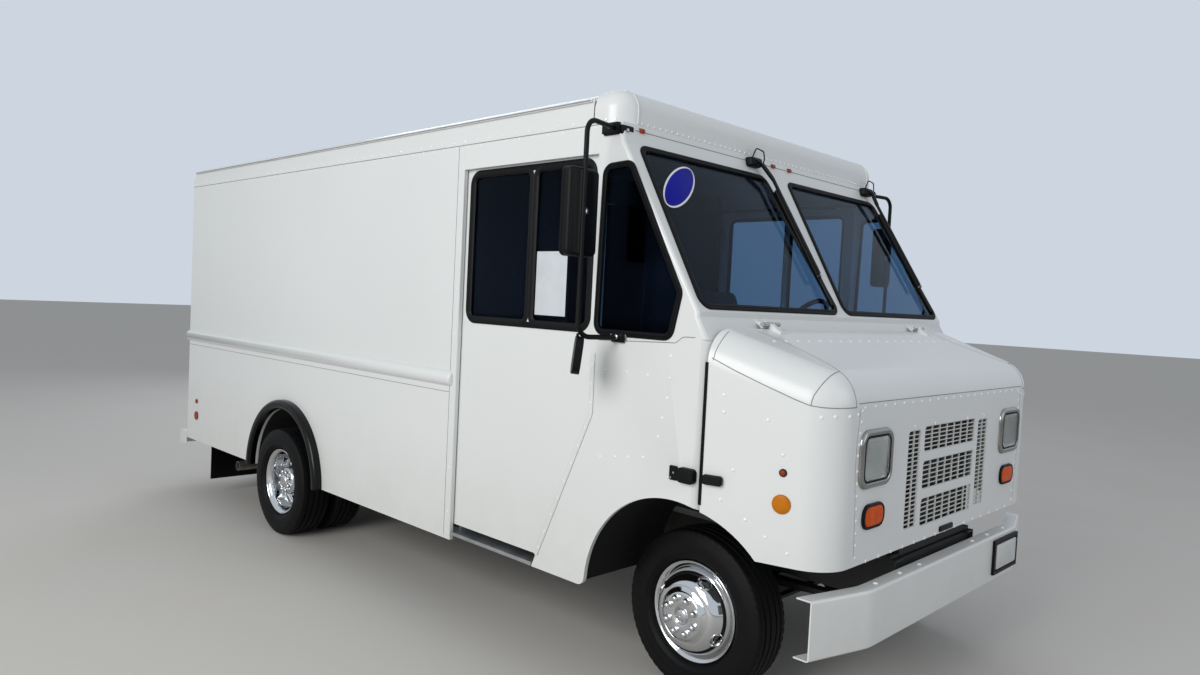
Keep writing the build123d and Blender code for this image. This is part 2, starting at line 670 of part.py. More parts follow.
# Floor on cross sleepers, with cut-outs for the step wells and the wheel housings, and a raised cargo deck
BULKHEAD_Y = DOOR_POST_Y + 51.0
BULKHEAD_THICK = 30.0
SLEEPER_AFT = REAR_AXLE_Y + 611.0
SLEEPER_LAST = BODY_REAR - REAR_WALL - 60.0
SLEEPERS = (
    DOOR_POST_Y - 229.0,
    DOOR_POST_Y + 471.0,
    DOOR_POST_Y + 1171.0,
    SLEEPER_AFT,
    (SLEEPER_AFT + SLEEPER_LAST) / 2,
    SLEEPER_LAST,
)
SLEEPER_W = 50.0
SLEEPER_HALF = REAR_HOUSING_IN_X - 5.0
with BuildPart() as body_floor:
    cuboid(-LINER_IN, LINER_IN, COWL_FRONT_Y + FRONT_WALL, BODY_REAR - REAR_WALL, FLOOR_LOW, CAB_FLOOR)
    cuboid(-LINER_IN, LINER_IN, BULKHEAD_Y + BULKHEAD_THICK, BODY_REAR - REAR_WALL, CAB_FLOOR, FLOOR_TOP)
    for name, sx in SIDES:
        cuboid(sx * STEP_IN_X, sx * (HALF + 10), STEP_FRONT_Y, DOOR_POST_Y + STEP_WALL,
               FLOOR_LOW - 5, FLOOR_TOP + 5, Mode.SUBTRACT)
        cuboid(sx * STEP_IN_X, sx * (HALF + 10), STEP_FRONT_Y - STEP_WALL, STEP_FRONT_Y + 5,
               FLOOR_LOW - 5, FLOOR_TOP + 5, Mode.SUBTRACT)
        barrel_x(sx * HOUSING_IN_X, sx * 1300, HOUSING_Y, FRONT_ARCH_Z, HOUSING_R + HOUSING_WALL,
                 Mode.SUBTRACT)
        barrel_x(sx * (REAR_HOUSING_IN_X - HOUSING_WALL), sx * 1300, REAR_AXLE_Y, REAR_ARCH_Z,
                 REAR_ARCH_R + HOUSING_WALL, Mode.SUBTRACT)
    for y in SLEEPERS:
        cuboid(-SLEEPER_HALF, SLEEPER_HALF, y - SLEEPER_W / 2, y + SLEEPER_W / 2, RAIL_HIGH, FLOOR_LOW)
    cuboid(-COVER_HALF + COVER_WALL, COVER_HALF - COVER_WALL, COWL_FRONT_Y, COVER_REAR - COVER_WALL,
           FLOOR_LOW - 5, FLOOR_TOP + 5, Mode.SUBTRACT)
save(body_floor, "body_floor")

# Wheel housings
with BuildPart() as wheel_housings:
    for name, sx in SIDES:
        barrel_x(sx * HOUSING_IN_X, sx * SKIN_IN, HOUSING_Y, FRONT_ARCH_Z, HOUSING_R + HOUSING_WALL)
        barrel_x(sx * (HOUSING_IN_X - 5), sx * 1300, HOUSING_Y, FRONT_ARCH_Z, HOUSING_R, Mode.SUBTRACT)
        barrel_x(sx * (REAR_HOUSING_IN_X - HOUSING_WALL), sx * SKIN_IN, REAR_AXLE_Y, REAR_ARCH_Z,
                 REAR_ARCH_R + HOUSING_WALL)
        barrel_x(sx * REAR_HOUSING_IN_X, sx * 1300, REAR_AXLE_Y, REAR_ARCH_Z, REAR_ARCH_R, Mode.SUBTRACT)
        cuboid(sx * (REAR_HOUSING_IN_X - 20), sx * (REAR_HOUSING_IN_X + 5), REAR_AXLE_Y - 600,
               REAR_AXLE_Y + 600, 0, FLOOR_LOW, Mode.SUBTRACT)
    cuboid(-1300, 1300, HOUSING_Y - 700, COWL_FRONT_Y + FRONT_WALL, 0, 1100, Mode.SUBTRACT)
    cuboid(-1300, 1300, HOUSING_Y - 700, REAR_AXLE_Y + 700, -200, FRONT_ARCH_Z, Mode.SUBTRACT)
save(wheel_housings, "wheel_housings")

# Rubber flares round the rear arches
with BuildPart() as fender_flares:
    for name, sx in SIDES:
        with BuildPart() as flare:
            barrel_x(sx * HALF, sx * (HALF + FLARE_PROUD), REAR_AXLE_Y, REAR_ARCH_Z, FLARE_R)
            barrel_x(sx * (HALF - 5), sx * (HALF + FLARE_PROUD + 5), REAR_AXLE_Y, REAR_ARCH_Z,
                     REAR_ARCH_R, Mode.SUBTRACT)
            cuboid(-1300, 1300, REAR_AXLE_Y - 700, REAR_AXLE_Y + 700, -200, SIDE_BOTTOM, Mode.SUBTRACT)
            outer = flare.edges().filter_by(
                lambda edge: abs(edge.center().X) > HALF + FLARE_PROUD - 1 and edge.length > 800
            )
            fillet(outer, 24)
save(fender_flares, "fender_flares")


# Hood shell: tapered plan, sloping top, rounded corners and shoulders
def hood_form(inset, back, bottom):
    """Gives the solid hood block, moved in by the wall, with its own back and bottom planes."""
    taper = tan(radians(HOOD_TAPER))
    slope = tan(radians(HOOD_SLOPE))
    half_rear = HALF - 2 - inset / cos(radians(HOOD_TAPER)) + taper * (back - COWL_FRONT_Y)
    front = HOOD_FRONT_Y + inset
    half_front = half_rear - taper * (back - front)
    top_rear = HOOD_REAR_Z - inset / cos(radians(HOOD_SLOPE)) + slope * (back - COWL_FRONT_Y)
    with BuildPart() as block:
        prism_z(
            ((-half_rear, back), (half_rear, back), (half_front, front), (-half_front, front)),
            bottom,
            top_rear + 50,
        )
        prism_x(
            (
                (back + 50, top_rear + slope * 50),
                (front - 50, top_rear - slope * (back - front + 50)),
                (front - 50, top_rear + 300),
                (back + 50, top_rear + 300),
            ),
            -HALF - 50,
            HALF + 50,
            Mode.SUBTRACT,
        )
        uprights = block.edges().filter_by(Axis.Z).filter_by_position(Axis.Y, front - 1, front + 1)
        fillet(uprights, HOOD_CORNER_R - inset)
        rim = block.faces().sort_by(Axis.Z)[-1].edges()
        rim = rim.filter_by(lambda edge: edge.center().Y < back - 1)
        fillet(rim, HOOD_SHOULDER_R - inset)
    return block.part


hood_back = COWL_FRONT_Y - HOOD_GAP
with BuildPart() as hood:
    add(hood_form(0, hood_back, HOOD_BOTTOM))
    add(hood_form(HOOD_WALL, hood_back + 60, HOOD_BOTTOM - 60), mode=Mode.SUBTRACT)
    barrel_x(-1300, 1300, FRONT_ARCH_Y, FRONT_ARCH_Z, FRONT_ARCH_R, Mode.SUBTRACT)
    with BuildSketch(Plane.XZ.offset(-HOOD_FRONT_Y + 5)) as grille_openings:
        for high, low in GRILLE_ROWS:
            with Locations((0, (high + low) / 2)):
                RectangleRounded(2 * GRILLE_HALF, high - low, GRILLE_R)
        for name, sx in SIDES:
            with Locations((sx * (SLOT_IN + SLOT_OUT) / 2, (SLOT_LOW + SLOT_HIGH) / 2)):
                RectangleRounded(SLOT_OUT - SLOT_IN, SLOT_HIGH - SLOT_LOW, GRILLE_R)
    extrude(grille_openings.sketch, amount=-HOOD_WALL - 10, mode=Mode.SUBTRACT)
    for name, sx in SIDES:
        barrel_x(sx * HINGE_X - HINGE_LEAF / 2, sx * HINGE_X + HINGE_LEAF / 2, HINGE_Y, HINGE_Z, HINGE_R)
        prism_x(
            (
                (HINGE_Y, HINGE_Z - 7),
                (HINGE_Y - 4, HINGE_Z + 6),
                (hood_back - 60, HOOD_REAR_Z - 12),
                (hood_back - 60, HOOD_REAR_Z - 24),
                (hood_back - 3, HOOD_REAR_Z - 7),
            ),
            sx * HINGE_X - HINGE_LEAF / 2,
            sx * HINGE_X + HINGE_LEAF / 2,
        )
        barrel_x(sx * HINGE_X - HINGE_LEAF, sx * HINGE_X + HINGE_LEAF, HINGE_Y, HINGE_Z,
                 HINGE_PIN_R + HINGE_PIN_FIT, Mode.SUBTRACT)
save(hood, "hood")

# Grille mesh behind the openings
MESH_COLUMNS = 7
MESH_ROWS = 5
SLOT_COLUMNS = 2
SLOT_ROWS = 18
MESH_LAP = 16.0
mesh_y0 = HOOD_FRONT_Y + HOOD_WALL
with BuildPart() as grille:
    cuboid(-SLOT_OUT - MESH_LAP, SLOT_OUT + MESH_LAP, mesh_y0, mesh_y0 + MESH_DEPTH,
           GRILLE_ROWS[-1][1] - MESH_LAP, GRILLE_ROWS[0][0] + MESH_LAP)
    for high, low in GRILLE_ROWS:
        pitch_x = (2 * GRILLE_HALF - MESH_BAR) / MESH_COLUMNS
        pitch_z = (high - low - MESH_BAR) / MESH_ROWS
        with Locations((0, mesh_y0 + MESH_DEPTH / 2, (high + low) / 2)):
            with GridLocations(pitch_x, 0, MESH_COLUMNS, 1):
                for row in range(MESH_ROWS):
                    with Locations((0, 0, (row - (MESH_ROWS - 1) / 2) * pitch_z)):
                        Box(pitch_x - MESH_BAR, 3 * MESH_DEPTH, pitch_z - MESH_BAR, mode=Mode.SUBTRACT)
    for name, sx in SIDES:
        pitch_x = (SLOT_OUT - SLOT_IN - MESH_BAR) / SLOT_COLUMNS
        pitch_z = (SLOT_HIGH - SLOT_LOW - MESH_BAR) / SLOT_ROWS
        with Locations((sx * (SLOT_IN + SLOT_OUT) / 2, mesh_y0 + MESH_DEPTH / 2, (SLOT_LOW + SLOT_HIGH) / 2)):
            with GridLocations(pitch_x, 0, SLOT_COLUMNS, 1):
                for row in range(SLOT_ROWS):
                    with Locations((0, 0, (row - (SLOT_ROWS - 1) / 2) * pitch_z)):
                        Box(pitch_x - MESH_BAR, 3 * MESH_DEPTH, pitch_z - MESH_BAR, mode=Mode.SUBTRACT)
save(grille, "grille")

# Headlamps with bezels, turn lamps, side lamps and reflectors of the hood
def hood_side_plane(sx, y, z, lift=0.0):
    """Gives the plane on the tapered hood side at a station and a height, facing outward."""
    x = HALF - 2 - (COWL_FRONT_Y - y) * tan(radians(HOOD_TAPER))
    normal = Vector(sx * cos(radians(HOOD_TAPER)), -sin(radians(HOOD_TAPER)), 0)
    origin = Vector(sx * x, y, z) + normal * lift
    return Plane(origin=origin, x_dir=(sx * normal.Y * -1, sx * normal.X, 0), z_dir=normal)


with BuildPart() as headlamps:
    for name, sx in SIDES:
        with BuildSketch(Plane.XZ.offset(-HOOD_FRONT_Y)) as bezel:
            with Locations((sx * HEADLAMP_X, HEADLAMP_Z)):
                RectangleRounded(HEADLAMP_W, HEADLAMP_H, HEADLAMP_R)
        extrude(bezel.sketch, amount=LAMP_PROUD, taper=20)
        with BuildSketch(Plane.XZ.offset(-HOOD_FRONT_Y + LAMP_PROUD)) as recess:
            with Locations((sx * HEADLAMP_X, HEADLAMP_Z)):
                RectangleRounded(HEADLAMP_W - 2 * HEADLAMP_RIM, HEADLAMP_H - 2 * HEADLAMP_RIM,
                                 HEADLAMP_R - 20)
        extrude(recess.sketch, amount=-6, mode=Mode.SUBTRACT)
save(headlamps, "headlamps")

SIDE_LENS = 9.0
with BuildPart() as turn_lamps:
    for name, sx in SIDES:
        with BuildSketch(Plane.XZ.offset(-HOOD_FRONT_Y)) as lens:
            with Locations((sx * TURN_X, TURN_Z)):
                RectangleRounded(TURN_W, TURN_H, TURN_R)
        extrude(lens.sketch, amount=LAMP_PROUD, taper=20)
    for name, sx in SIDES:
        for z, radius in ((SIDE_LAMP_Z, SIDE_LAMP_R), (SIDE_REFLECTOR_Z, SIDE_REFLECTOR_R)):
            with BuildSketch(hood_side_plane(sx, SIDE_LAMP_Y, z)) as lens:
                Circle(radius)
            extrude(lens.sketch, amount=SIDE_LENS)
save(turn_lamps, "turn_lamps")

with BuildPart() as hood_latches:
    for name, sx in SIDES:
        with BuildSketch(hood_side_plane(sx, LATCH_Y, LATCH_Z)) as grip:
            RectangleRounded(LATCH_LENGTH, LATCH_HIGH, 12)
        extrude(grip.sketch, amount=LATCH_PROUD)
save(hood_latches, "hood_latches")

# Front bumper: swept channel with top and bottom flanges
def bumper_outline(inset):
    """Gives the plan outline of the bumper channel, moved in by the wall."""
    sweep_y = BUMPER_FACE_Y + BUMPER_SWEEP
    face = BUMPER_FACE_Y + inset
    return (
        (-BUMPER_END_X, sweep_y + inset),
        (-BUMPER_BEND_X, face),
        (BUMPER_BEND_X, face),
        (BUMPER_END_X, sweep_y + inset),
        (BUMPER_END_X, sweep_y + BUMPER_DEPTH + inset * 2),
        (BUMPER_BEND_X, BUMPER_FACE_Y + BUMPER_DEPTH + inset * 2),
        (-BUMPER_BEND_X, BUMPER_FACE_Y + BUMPER_DEPTH + inset * 2),
        (-BUMPER_END_X, sweep_y + BUMPER_DEPTH + inset * 2),
    )


with BuildPart() as front_bumper:
    prism_z(bumper_outline(0), BUMPER_LOW, BUMPER_HIGH)
    bends = front_bumper.edges().filter_by(Axis.Z).filter_by(lambda edge: abs(edge.center().X) < 900)
    fillet(bends, BUMPER_BEND_R)
    front_faces = front_bumper.faces().filter_by(lambda face: face.normal_at().Y < -0.5)
    long_edges = front_faces.edges().filter_by(
        lambda edge: abs(edge.center().Z - (BUMPER_LOW + BUMPER_HIGH) / 2) > 1
    )
    fillet(long_edges, BUMPER_EDGE_R)
    with BuildPart(mode=Mode.PRIVATE) as hollow:
        prism_z(bumper_outline(BUMPER_WALL), BUMPER_LOW + BUMPER_WALL, BUMPER_HIGH - BUMPER_WALL)
        inner_bends = hollow.edges().filter_by(Axis.Z).filter_by(lambda edge: abs(edge.center().X) < 900)
        fillet(inner_bends, BUMPER_BEND_R)
    add(hollow.part, mode=Mode.SUBTRACT)
    for name, sx in SIDES:
        cuboid(sx * (RAIL_X - RAIL_W), sx * RAIL_X, BUMPER_FACE_Y + BUMPER_WALL, RAIL_FRONT, 520, 640)
    for x in (PLATE_X - PLATE_HOLE_SPACING / 2, PLATE_X + PLATE_HOLE_SPACING / 2):
        barrel_y(x, BUMPER_FACE_Y - 5, BUMPER_FACE_Y + BUMPER_WALL + 5, PLATE_Z + PLATE_HOLE_RISE,
                 PLATE_HOLE_R, Mode.SUBTRACT)
save(front_bumper, "front_bumper")

PLATE_FRAME = 18.0
with BuildPart() as plate_holder:
    cuboid(PLATE_X - PLATE_W / 2, PLATE_X + PLATE_W / 2, FRONT_END, BUMPER_FACE_Y,
           PLATE_Z - PLATE_H / 2, PLATE_Z + PLATE_H / 2)
    cuboid(PLATE_X - PLATE_W / 2 + PLATE_FRAME, PLATE_X + PLATE_W / 2 - PLATE_FRAME, FRONT_END - 5,
           FRONT_END + 6, PLATE_Z - PLATE_H / 2 + PLATE_FRAME, PLATE_Z + PLATE_H / 2 - PLATE_FRAME,
           Mode.SUBTRACT)
    for x in (PLATE_X - PLATE_HOLE_SPACING / 2, PLATE_X + PLATE_HOLE_SPACING / 2):
        barrel_y(x, FRONT_END - 5, BUMPER_FACE_Y + 5, PLATE_Z + PLATE_HOLE_RISE, PLATE_HOLE_R, Mode.SUBTRACT)
save(plate_holder, "plate_holder")

# Rear step bumper on brackets
with BuildPart() as rear_bumper:
    cuboid(-REAR_BUMPER_HALF, REAR_BUMPER_HALF, REAR_BUMPER_FRONT, REAR_END, REAR_BUMPER_LOW,
           REAR_BUMPER_HIGH)
    cuboid(-REAR_BUMPER_HALF + 8, REAR_BUMPER_HALF - 8, REAR_BUMPER_FRONT - 5, REAR_END - 8,
           REAR_BUMPER_LOW - 5, REAR_BUMPER_HIGH - 8, Mode.SUBTRACT)
    for name, sx in SIDES:
        cuboid(sx * (RAIL_X - RAIL_W), sx * RAIL_X, RAIL_REAR, REAR_BUMPER_FRONT + 60,
               REAR_BUMPER_HIGH - 8, RAIL_HIGH - 40)
save(rear_bumper, "rear_bumper")

# Chassis: two channel rails and cross-members
CROSS_STATIONS = (
    RAIL_FRONT + 50.0,
    -1480.0,
    -700.0,
    250.0,
    REAR_AXLE_Y + 811.0,
    RAIL_REAR - 110.0,
)
CROSS_W = 60.0
CROSS_H = 70.0
with BuildPart() as chassis_frame:
    for name, sx in SIDES:
        cuboid(sx * (RAIL_X - RAIL_W), sx * RAIL_X, RAIL_FRONT, RAIL_REAR, RAIL_LOW, RAIL_HIGH)
        cuboid(sx * (RAIL_X - RAIL_W - 5), sx * (RAIL_X - RAIL_WALL), RAIL_FRONT - 5, RAIL_REAR + 5,
               RAIL_LOW + RAIL_WALL, RAIL_HIGH - RAIL_WALL, Mode.SUBTRACT)
    for y in CROSS_STATIONS:
        cuboid(-RAIL_X + RAIL_WALL, RAIL_X - RAIL_WALL, y - CROSS_W / 2, y + CROSS_W / 2,
               RAIL_HIGH - RAIL_WALL - CROSS_H, RAIL_HIGH - RAIL_WALL)
save(chassis_frame, "chassis_frame")

# Engine with radiator and gearbox
with BuildPart() as engine:
    prism_y(((-150, 450), (150, 450), (190, 700), (300, 1060), (170, 1110), (-170, 1110), (-300, 1060),
             (-190, 700)), -2830, -2150)
    cuboid(-130, 130, -2150, -1560, 460, FLOOR_LOW)
    rod((0, -1560, 540), (0, REAR_AXLE_Y - DIFF_R - 6, 400), 45)
save(engine, "engine")

with BuildPart() as radiator:
    cuboid(-360, 360, -2990, -2935, 700, 1330)
    barrel_y(0, -2935, -2890, 1000, 280)
    cuboid(-RAIL_X, RAIL_X, -2985, -2940, RAIL_HIGH, 705)
save(radiator, "radiator")

# Drive line, axles and springs
axle_half = REAR_OUTER_X - 40
with BuildPart() as rear_axle:
    spin_x(
        (
            (-axle_half, 0),
            (-axle_half, SPINDLE_R + 10),
            (-690, SPINDLE_R + 10),
            (-690, AXLE_R),
            (-170, AXLE_R),
            (-110, DIFF_R - 40),
            (-50, DIFF_R),
            (50, DIFF_R),
            (110, DIFF_R - 40),
            (170, AXLE_R),
            (690, AXLE_R),
            (690, SPINDLE_R + 10),
            (axle_half, SPINDLE_R + 10),
            (axle_half, 0),
        ),
        0,
        REAR_AXLE_Y,
        TYRE_R,
    )
save(rear_axle, "rear_axle")

LEAF_W = 60.0
SPRING_FIT = 0.3
LEAF_H = 34.0
SPRING_END_Z = RAIL_LOW - 40
spring_x = RAIL_X - RAIL_W / 2
with BuildPart() as springs:
    for axle_y, reach, seat in ((FRONT_AXLE_Y, 520, TYRE_R + 60), (REAR_AXLE_Y, 680, TYRE_R + AXLE_R)):
        for name, sx in SIDES:
            with BuildSketch(Plane.YZ.offset(sx * spring_x - LEAF_W / 2)) as leaf:
                with BuildLine():
                    ThreePointArc((axle_y - reach, SPRING_END_Z), (axle_y, seat + SPRING_FIT),
                                  (axle_y + reach, SPRING_END_Z))
                    Line((axle_y + reach, SPRING_END_Z), (axle_y + reach, SPRING_END_Z + 14))
                    ThreePointArc((axle_y + reach, SPRING_END_Z + 14), (axle_y, seat + SPRING_FIT + LEAF_H),
                                  (axle_y - reach, SPRING_END_Z + 14))
                    Line((axle_y - reach, SPRING_END_Z + 14), (axle_y - reach, SPRING_END_Z))
                make_face()
            extrude(leaf.sketch, amount=LEAF_W)
            for end in (-1, 1):
                cuboid(sx * spring_x - LEAF_W / 2, sx * spring_x + LEAF_W / 2,
                       axle_y + end * reach - end * 40, axle_y + end * reach, SPRING_END_Z + 6, RAIL_LOW)
save(springs, "springs")

with BuildPart() as front_axle:
    prism_x(
        ((FRONT_AXLE_Y - 45, 290), (FRONT_AXLE_Y + 45, 290), (FRONT_AXLE_Y + 45, TYRE_R + 60),
         (FRONT_AXLE_Y - 45, TYRE_R + 60)),
        -540,
        540,
    )
    prism_x(
        ((FRONT_AXLE_Y - 60, 306), (FRONT_AXLE_Y - 15, 306), (FRONT_AXLE_Y - 15, TYRE_R + 44),
         (FRONT_AXLE_Y - 60, TYRE_R + 44)),
        -530,
        530,
        Mode.SUBTRACT,
    )
    prism_x(
        ((FRONT_AXLE_Y + 60, 306), (FRONT_AXLE_Y + 15, 306), (FRONT_AXLE_Y + 15, TYRE_R + 44),
         (FRONT_AXLE_Y + 60, TYRE_R + 44)),
        -530,
        530,
        Mode.SUBTRACT,
    )
    for name, sx in SIDES:
        cuboid(sx * 540, sx * (KINGPIN_X - 30), FRONT_AXLE_Y - 30, FRONT_AXLE_Y + 30, TYRE_R - 40,
               TYRE_R + 40)
        barrel_z(sx * KINGPIN_X, FRONT_AXLE_Y, TYRE_R - 40, TYRE_R + 40, 34)
        barrel_z(sx * KINGPIN_X, FRONT_AXLE_Y, TYRE_R - 50, TYRE_R + 50, SPINDLE_R / 2 + SPINDLE_FIT,
                 Mode.SUBTRACT)
save(front_axle, "front_axle")

# Steering knuckles: fork, kingpin, spindle and brake disc
for name, sx in SIDES:
    with BuildPart() as knuckle:
        barrel_z(sx * KINGPIN_X, FRONT_AXLE_Y, TYRE_R - 78, TYRE_R + 78, SPINDLE_R / 2)
        for z0, z1 in ((TYRE_R - 78, TYRE_R - 46), (TYRE_R + 46, TYRE_R + 78)):
            cuboid(sx * (KINGPIN_X - 26), sx * (KINGPIN_X + 62), FRONT_AXLE_Y - 26, FRONT_AXLE_Y + 26, z0, z1)
        cuboid(sx * (KINGPIN_X + 42), sx * (KINGPIN_X + 62), FRONT_AXLE_Y - 40, FRONT_AXLE_Y + 40,
               TYRE_R - 78, TYRE_R + 78)
        barrel_x(sx * (KINGPIN_X + 62), sx * (FRONT_TYRE_X + SPINDLE_REACH), FRONT_AXLE_Y, TYRE_R, SPINDLE_R)
    save(knuckle, f"knuckle_{name}")


# Wheels: tyre section and rim section as (axial, radial) outlines
tyre_section = (
    (-RIM_HALF + 14, BEAD_R + 0.5),
    (RIM_HALF - 14, BEAD_R + 0.5),
    (RIM_HALF - 12.5, RIM_R + 3),
    (RIM_HALF + 6, RIM_R + 10),
    (TYRE_W / 2 - 3, RIM_R + 34),
    (TYRE_W / 2, RIM_R + 66),
    (TYRE_W / 2 - 6, TYRE_R - 36),
    (TREAD_HALF + 8, TYRE_R - 12),
    (TREAD_HALF - 8, TYRE_R - 2),
    (0, TYRE_R),
    (-TREAD_HALF + 8, TYRE_R - 2),
    (-TREAD_HALF - 8, TYRE_R - 12),
    (-TYRE_W / 2 + 6, TYRE_R - 36),
    (-TYRE_W / 2, RIM_R + 66),
    (-TYRE_W / 2 + 3, RIM_R + 34),
    (-RIM_HALF - 6, RIM_R + 10),
    (-RIM_HALF + 12.5, RIM_R + 3),
)
rim_section = (
    (-RIM_HALF, RIM_R),
    (-RIM_HALF, RIM_R - 10),
    (-RIM_HALF + 18, BEAD_R - RIM_WALL),
    (RIM_HALF - 18, BEAD_R - RIM_WALL),
    (RIM_HALF, RIM_R - 10),
    (RIM_HALF, RIM_R),
    (RIM_HALF - 12, RIM_R),
    (RIM_HALF - 14, BEAD_R),
    (-RIM_HALF + 14, BEAD_R),
    (-RIM_HALF + 12, RIM_R),
)
HAND_HOLES = 4
HAND_HOLE_TURN = 26.0
HAND_HOLE_LONG = 30.0
HAND_HOLE_SHORT = 14.0
HAND_HOLE_PITCH_R = BEAD_R - 31.0
REAR_HOLE_PITCH_R = BEAD_R - 50.0
HUB_FACE = RIM_HALF + 86.0
HUB_FACE_R = 100.0
DISC_WALL = 10.0


def disc_section():
    """Gives the front wheel's domed disc, stepped hub and spindle bore."""
    bead = BEAD_R - RIM_WALL
    return (
        (SPINDLE_REACH - 72, SPINDLE_R + SPINDLE_FIT),
        (SPINDLE_REACH + 8, SPINDLE_R + SPINDLE_FIT),
        (SPINDLE_REACH + 8, 0),
        (HUB_FACE - 18, 0),
        (HUB_FACE - 18, 28),
        (HUB_FACE, 40),
        (HUB_FACE, HUB_FACE_R),
        (HUB_FACE - 5, HUB_FACE_R + 6),
        (HUB_FACE - 18, HUB_FACE_R + 25),
        (HUB_FACE - 30, bead - 46),
        (HUB_FACE - 50, bead - 25),
        (HUB_FACE - 88, bead - 6),
        (HUB_FACE - 106, bead),
        (HUB_FACE - 106 - DISC_WALL, bead),
        (HUB_FACE - 92 - DISC_WALL, bead - 12),
        (HUB_FACE - 54 - DISC_WALL, bead - 31),
        (HUB_FACE - 32 - DISC_WALL, bead - 52),
        (HUB_FACE - 22 - DISC_WALL, HUB_FACE_R + 18),
        (SPINDLE_REACH - 10, HUB_R + 6),
        (SPINDLE_REACH - 72, HUB_R),
    )


def hand_holes(x, pitch_r):
    """Cuts the oval hand holes of a disc, through its whole depth."""
    with BuildSketch(Plane.YZ.offset(x)) as holes:
        with PolarLocations(pitch_r, HAND_HOLES, HAND_HOLE_TURN):
            Ellipse(HAND_HOLE_SHORT, HAND_HOLE_LONG)
    return holes.sketch


def mirrored(points, sx):
    """Turns an outline's axial values to one side of the truck."""
    return tuple((sx * a, r) for a, r in points)


for name, sx in SIDES:
    with BuildPart() as tyre_front:
        spin_x(mirrored(tyre_section, sx), sx * FRONT_TYRE_X, FRONT_AXLE_Y, TYRE_R)
    save(tyre_front, f"tyre_front_{name}")

    with BuildPart() as rim_front:
        spin_x(mirrored(rim_section, sx), sx * FRONT_TYRE_X, FRONT_AXLE_Y, TYRE_R)
        spin_x(mirrored(disc_section(), sx), sx * FRONT_TYRE_X, FRONT_AXLE_Y, TYRE_R)
        holes = Pos(0, FRONT_AXLE_Y, TYRE_R) * hand_holes(sx * FRONT_TYRE_X, HAND_HOLE_PITCH_R)
        extrude(holes, amount=sx * TYRE_W, mode=Mode.SUBTRACT)
    save(rim_front, f"rim_front_{name}")

    with BuildPart() as tyres_rear:
        for x in (REAR_OUTER_X, REAR_OUTER_X - TWIN_SPACING):
            spin_x(mirrored(tyre_section, sx), sx * x, REAR_AXLE_Y, TYRE_R)
    save(tyres_rear, f"tyres_rear_{name}")

    with BuildPart() as rims_rear:
        for x in (REAR_OUTER_X, REAR_OUTER_X - TWIN_SPACING):
            spin_x(mirrored(rim_section, sx), sx * x, REAR_AXLE_Y, TYRE_R)
        spin_x(
            (
                (sx * (-RIM_HALF - 30), SPINDLE_R + 10 + SPINDLE_FIT),
                (sx * (RIM_HALF - 40), SPINDLE_R + 10 + SPINDLE_FIT),
                (sx * (RIM_HALF - 40), 85),
                (sx * (-RIM_HALF + 34), 110),
                (sx * (-RIM_HALF + 34), BEAD_R - RIM_WALL / 2),
                (sx * (-RIM_HALF + 24), BEAD_R - RIM_WALL / 2),
                (sx * (-RIM_HALF + 24), 110),
                (sx * (-RIM_HALF - 30), 100),
            ),
            sx * REAR_OUTER_X,
            REAR_AXLE_Y,
            TYRE_R,
        )
        spin_x(
            (
                (sx * (RIM_HALF - 24), BEAD_R - RIM_WALL / 2),
                (sx * (RIM_HALF - 34), BEAD_R - RIM_WALL / 2),
                (sx * (RIM_HALF + 2), 100),
                (sx * (TWIN_SPACING - RIM_HALF - 30), 70),
                (sx * (TWIN_SPACING - RIM_HALF - 30), 100),
                (sx * (RIM_HALF + 12), 112),
            ),
            sx * (REAR_OUTER_X - TWIN_SPACING),
            REAR_AXLE_Y,
            TYRE_R,
        )
        holes = Pos(0, REAR_AXLE_Y, TYRE_R) * hand_holes(sx * REAR_OUTER_X, REAR_HOLE_PITCH_R)
        extrude(holes, amount=-sx * TYRE_W, mode=Mode.SUBTRACT)
    save(rims_rear, f"rims_rear_{name}")

# Rear wall round the doorway, closed up to the roof
with BuildPart() as rear_frame:
    cuboid(-SKIN_IN, SKIN_IN, BODY_REAR - REAR_WALL, BODY_REAR, SIDE_BOTTOM, RAIL_SEAM_Z)
    cuboid(-REAR_OPEN_HALF, REAR_OPEN_HALF, BODY_REAR - 100, BODY_REAR + 20, FLOOR_TOP, REAR_OPEN_HIGH,
           Mode.SUBTRACT)
    for name, sx in SIDES:
        cuboid(sx * (RAIL_X - RAIL_W - 5), sx * (RAIL_X + 5), BODY_REAR - 100, BODY_REAR + 20,
               SIDE_BOTTOM - 5, RAIL_HIGH + 5, Mode.SUBTRACT)
        for z in REAR_HINGES_Z:
            for end in (-1, 1):
                knuckle_z = z + end * (REAR_KNUCKLE + REAR_END_KNUCKLE + 1)
                cuboid(sx * (REAR_HINGE_X + 8), sx * (REAR_HINGE_X + 50), BODY_REAR,
                       BODY_REAR + REAR_HINGE_OUT, knuckle_z - REAR_END_KNUCKLE,
                       knuckle_z + REAR_END_KNUCKLE)
                barrel_z(sx * REAR_HINGE_X, BODY_REAR + REAR_HINGE_OUT, knuckle_z - REAR_END_KNUCKLE,
                         knuckle_z + REAR_END_KNUCKLE, REAR_HINGE_R)
            barrel_z(sx * REAR_HINGE_X, BODY_REAR + REAR_HINGE_OUT, z - REAR_KNUCKLE - REAR_END_KNUCKLE,
                     z + REAR_KNUCKLE + REAR_END_KNUCKLE, REAR_PIN_R)
save(rear_frame, "rear_frame")

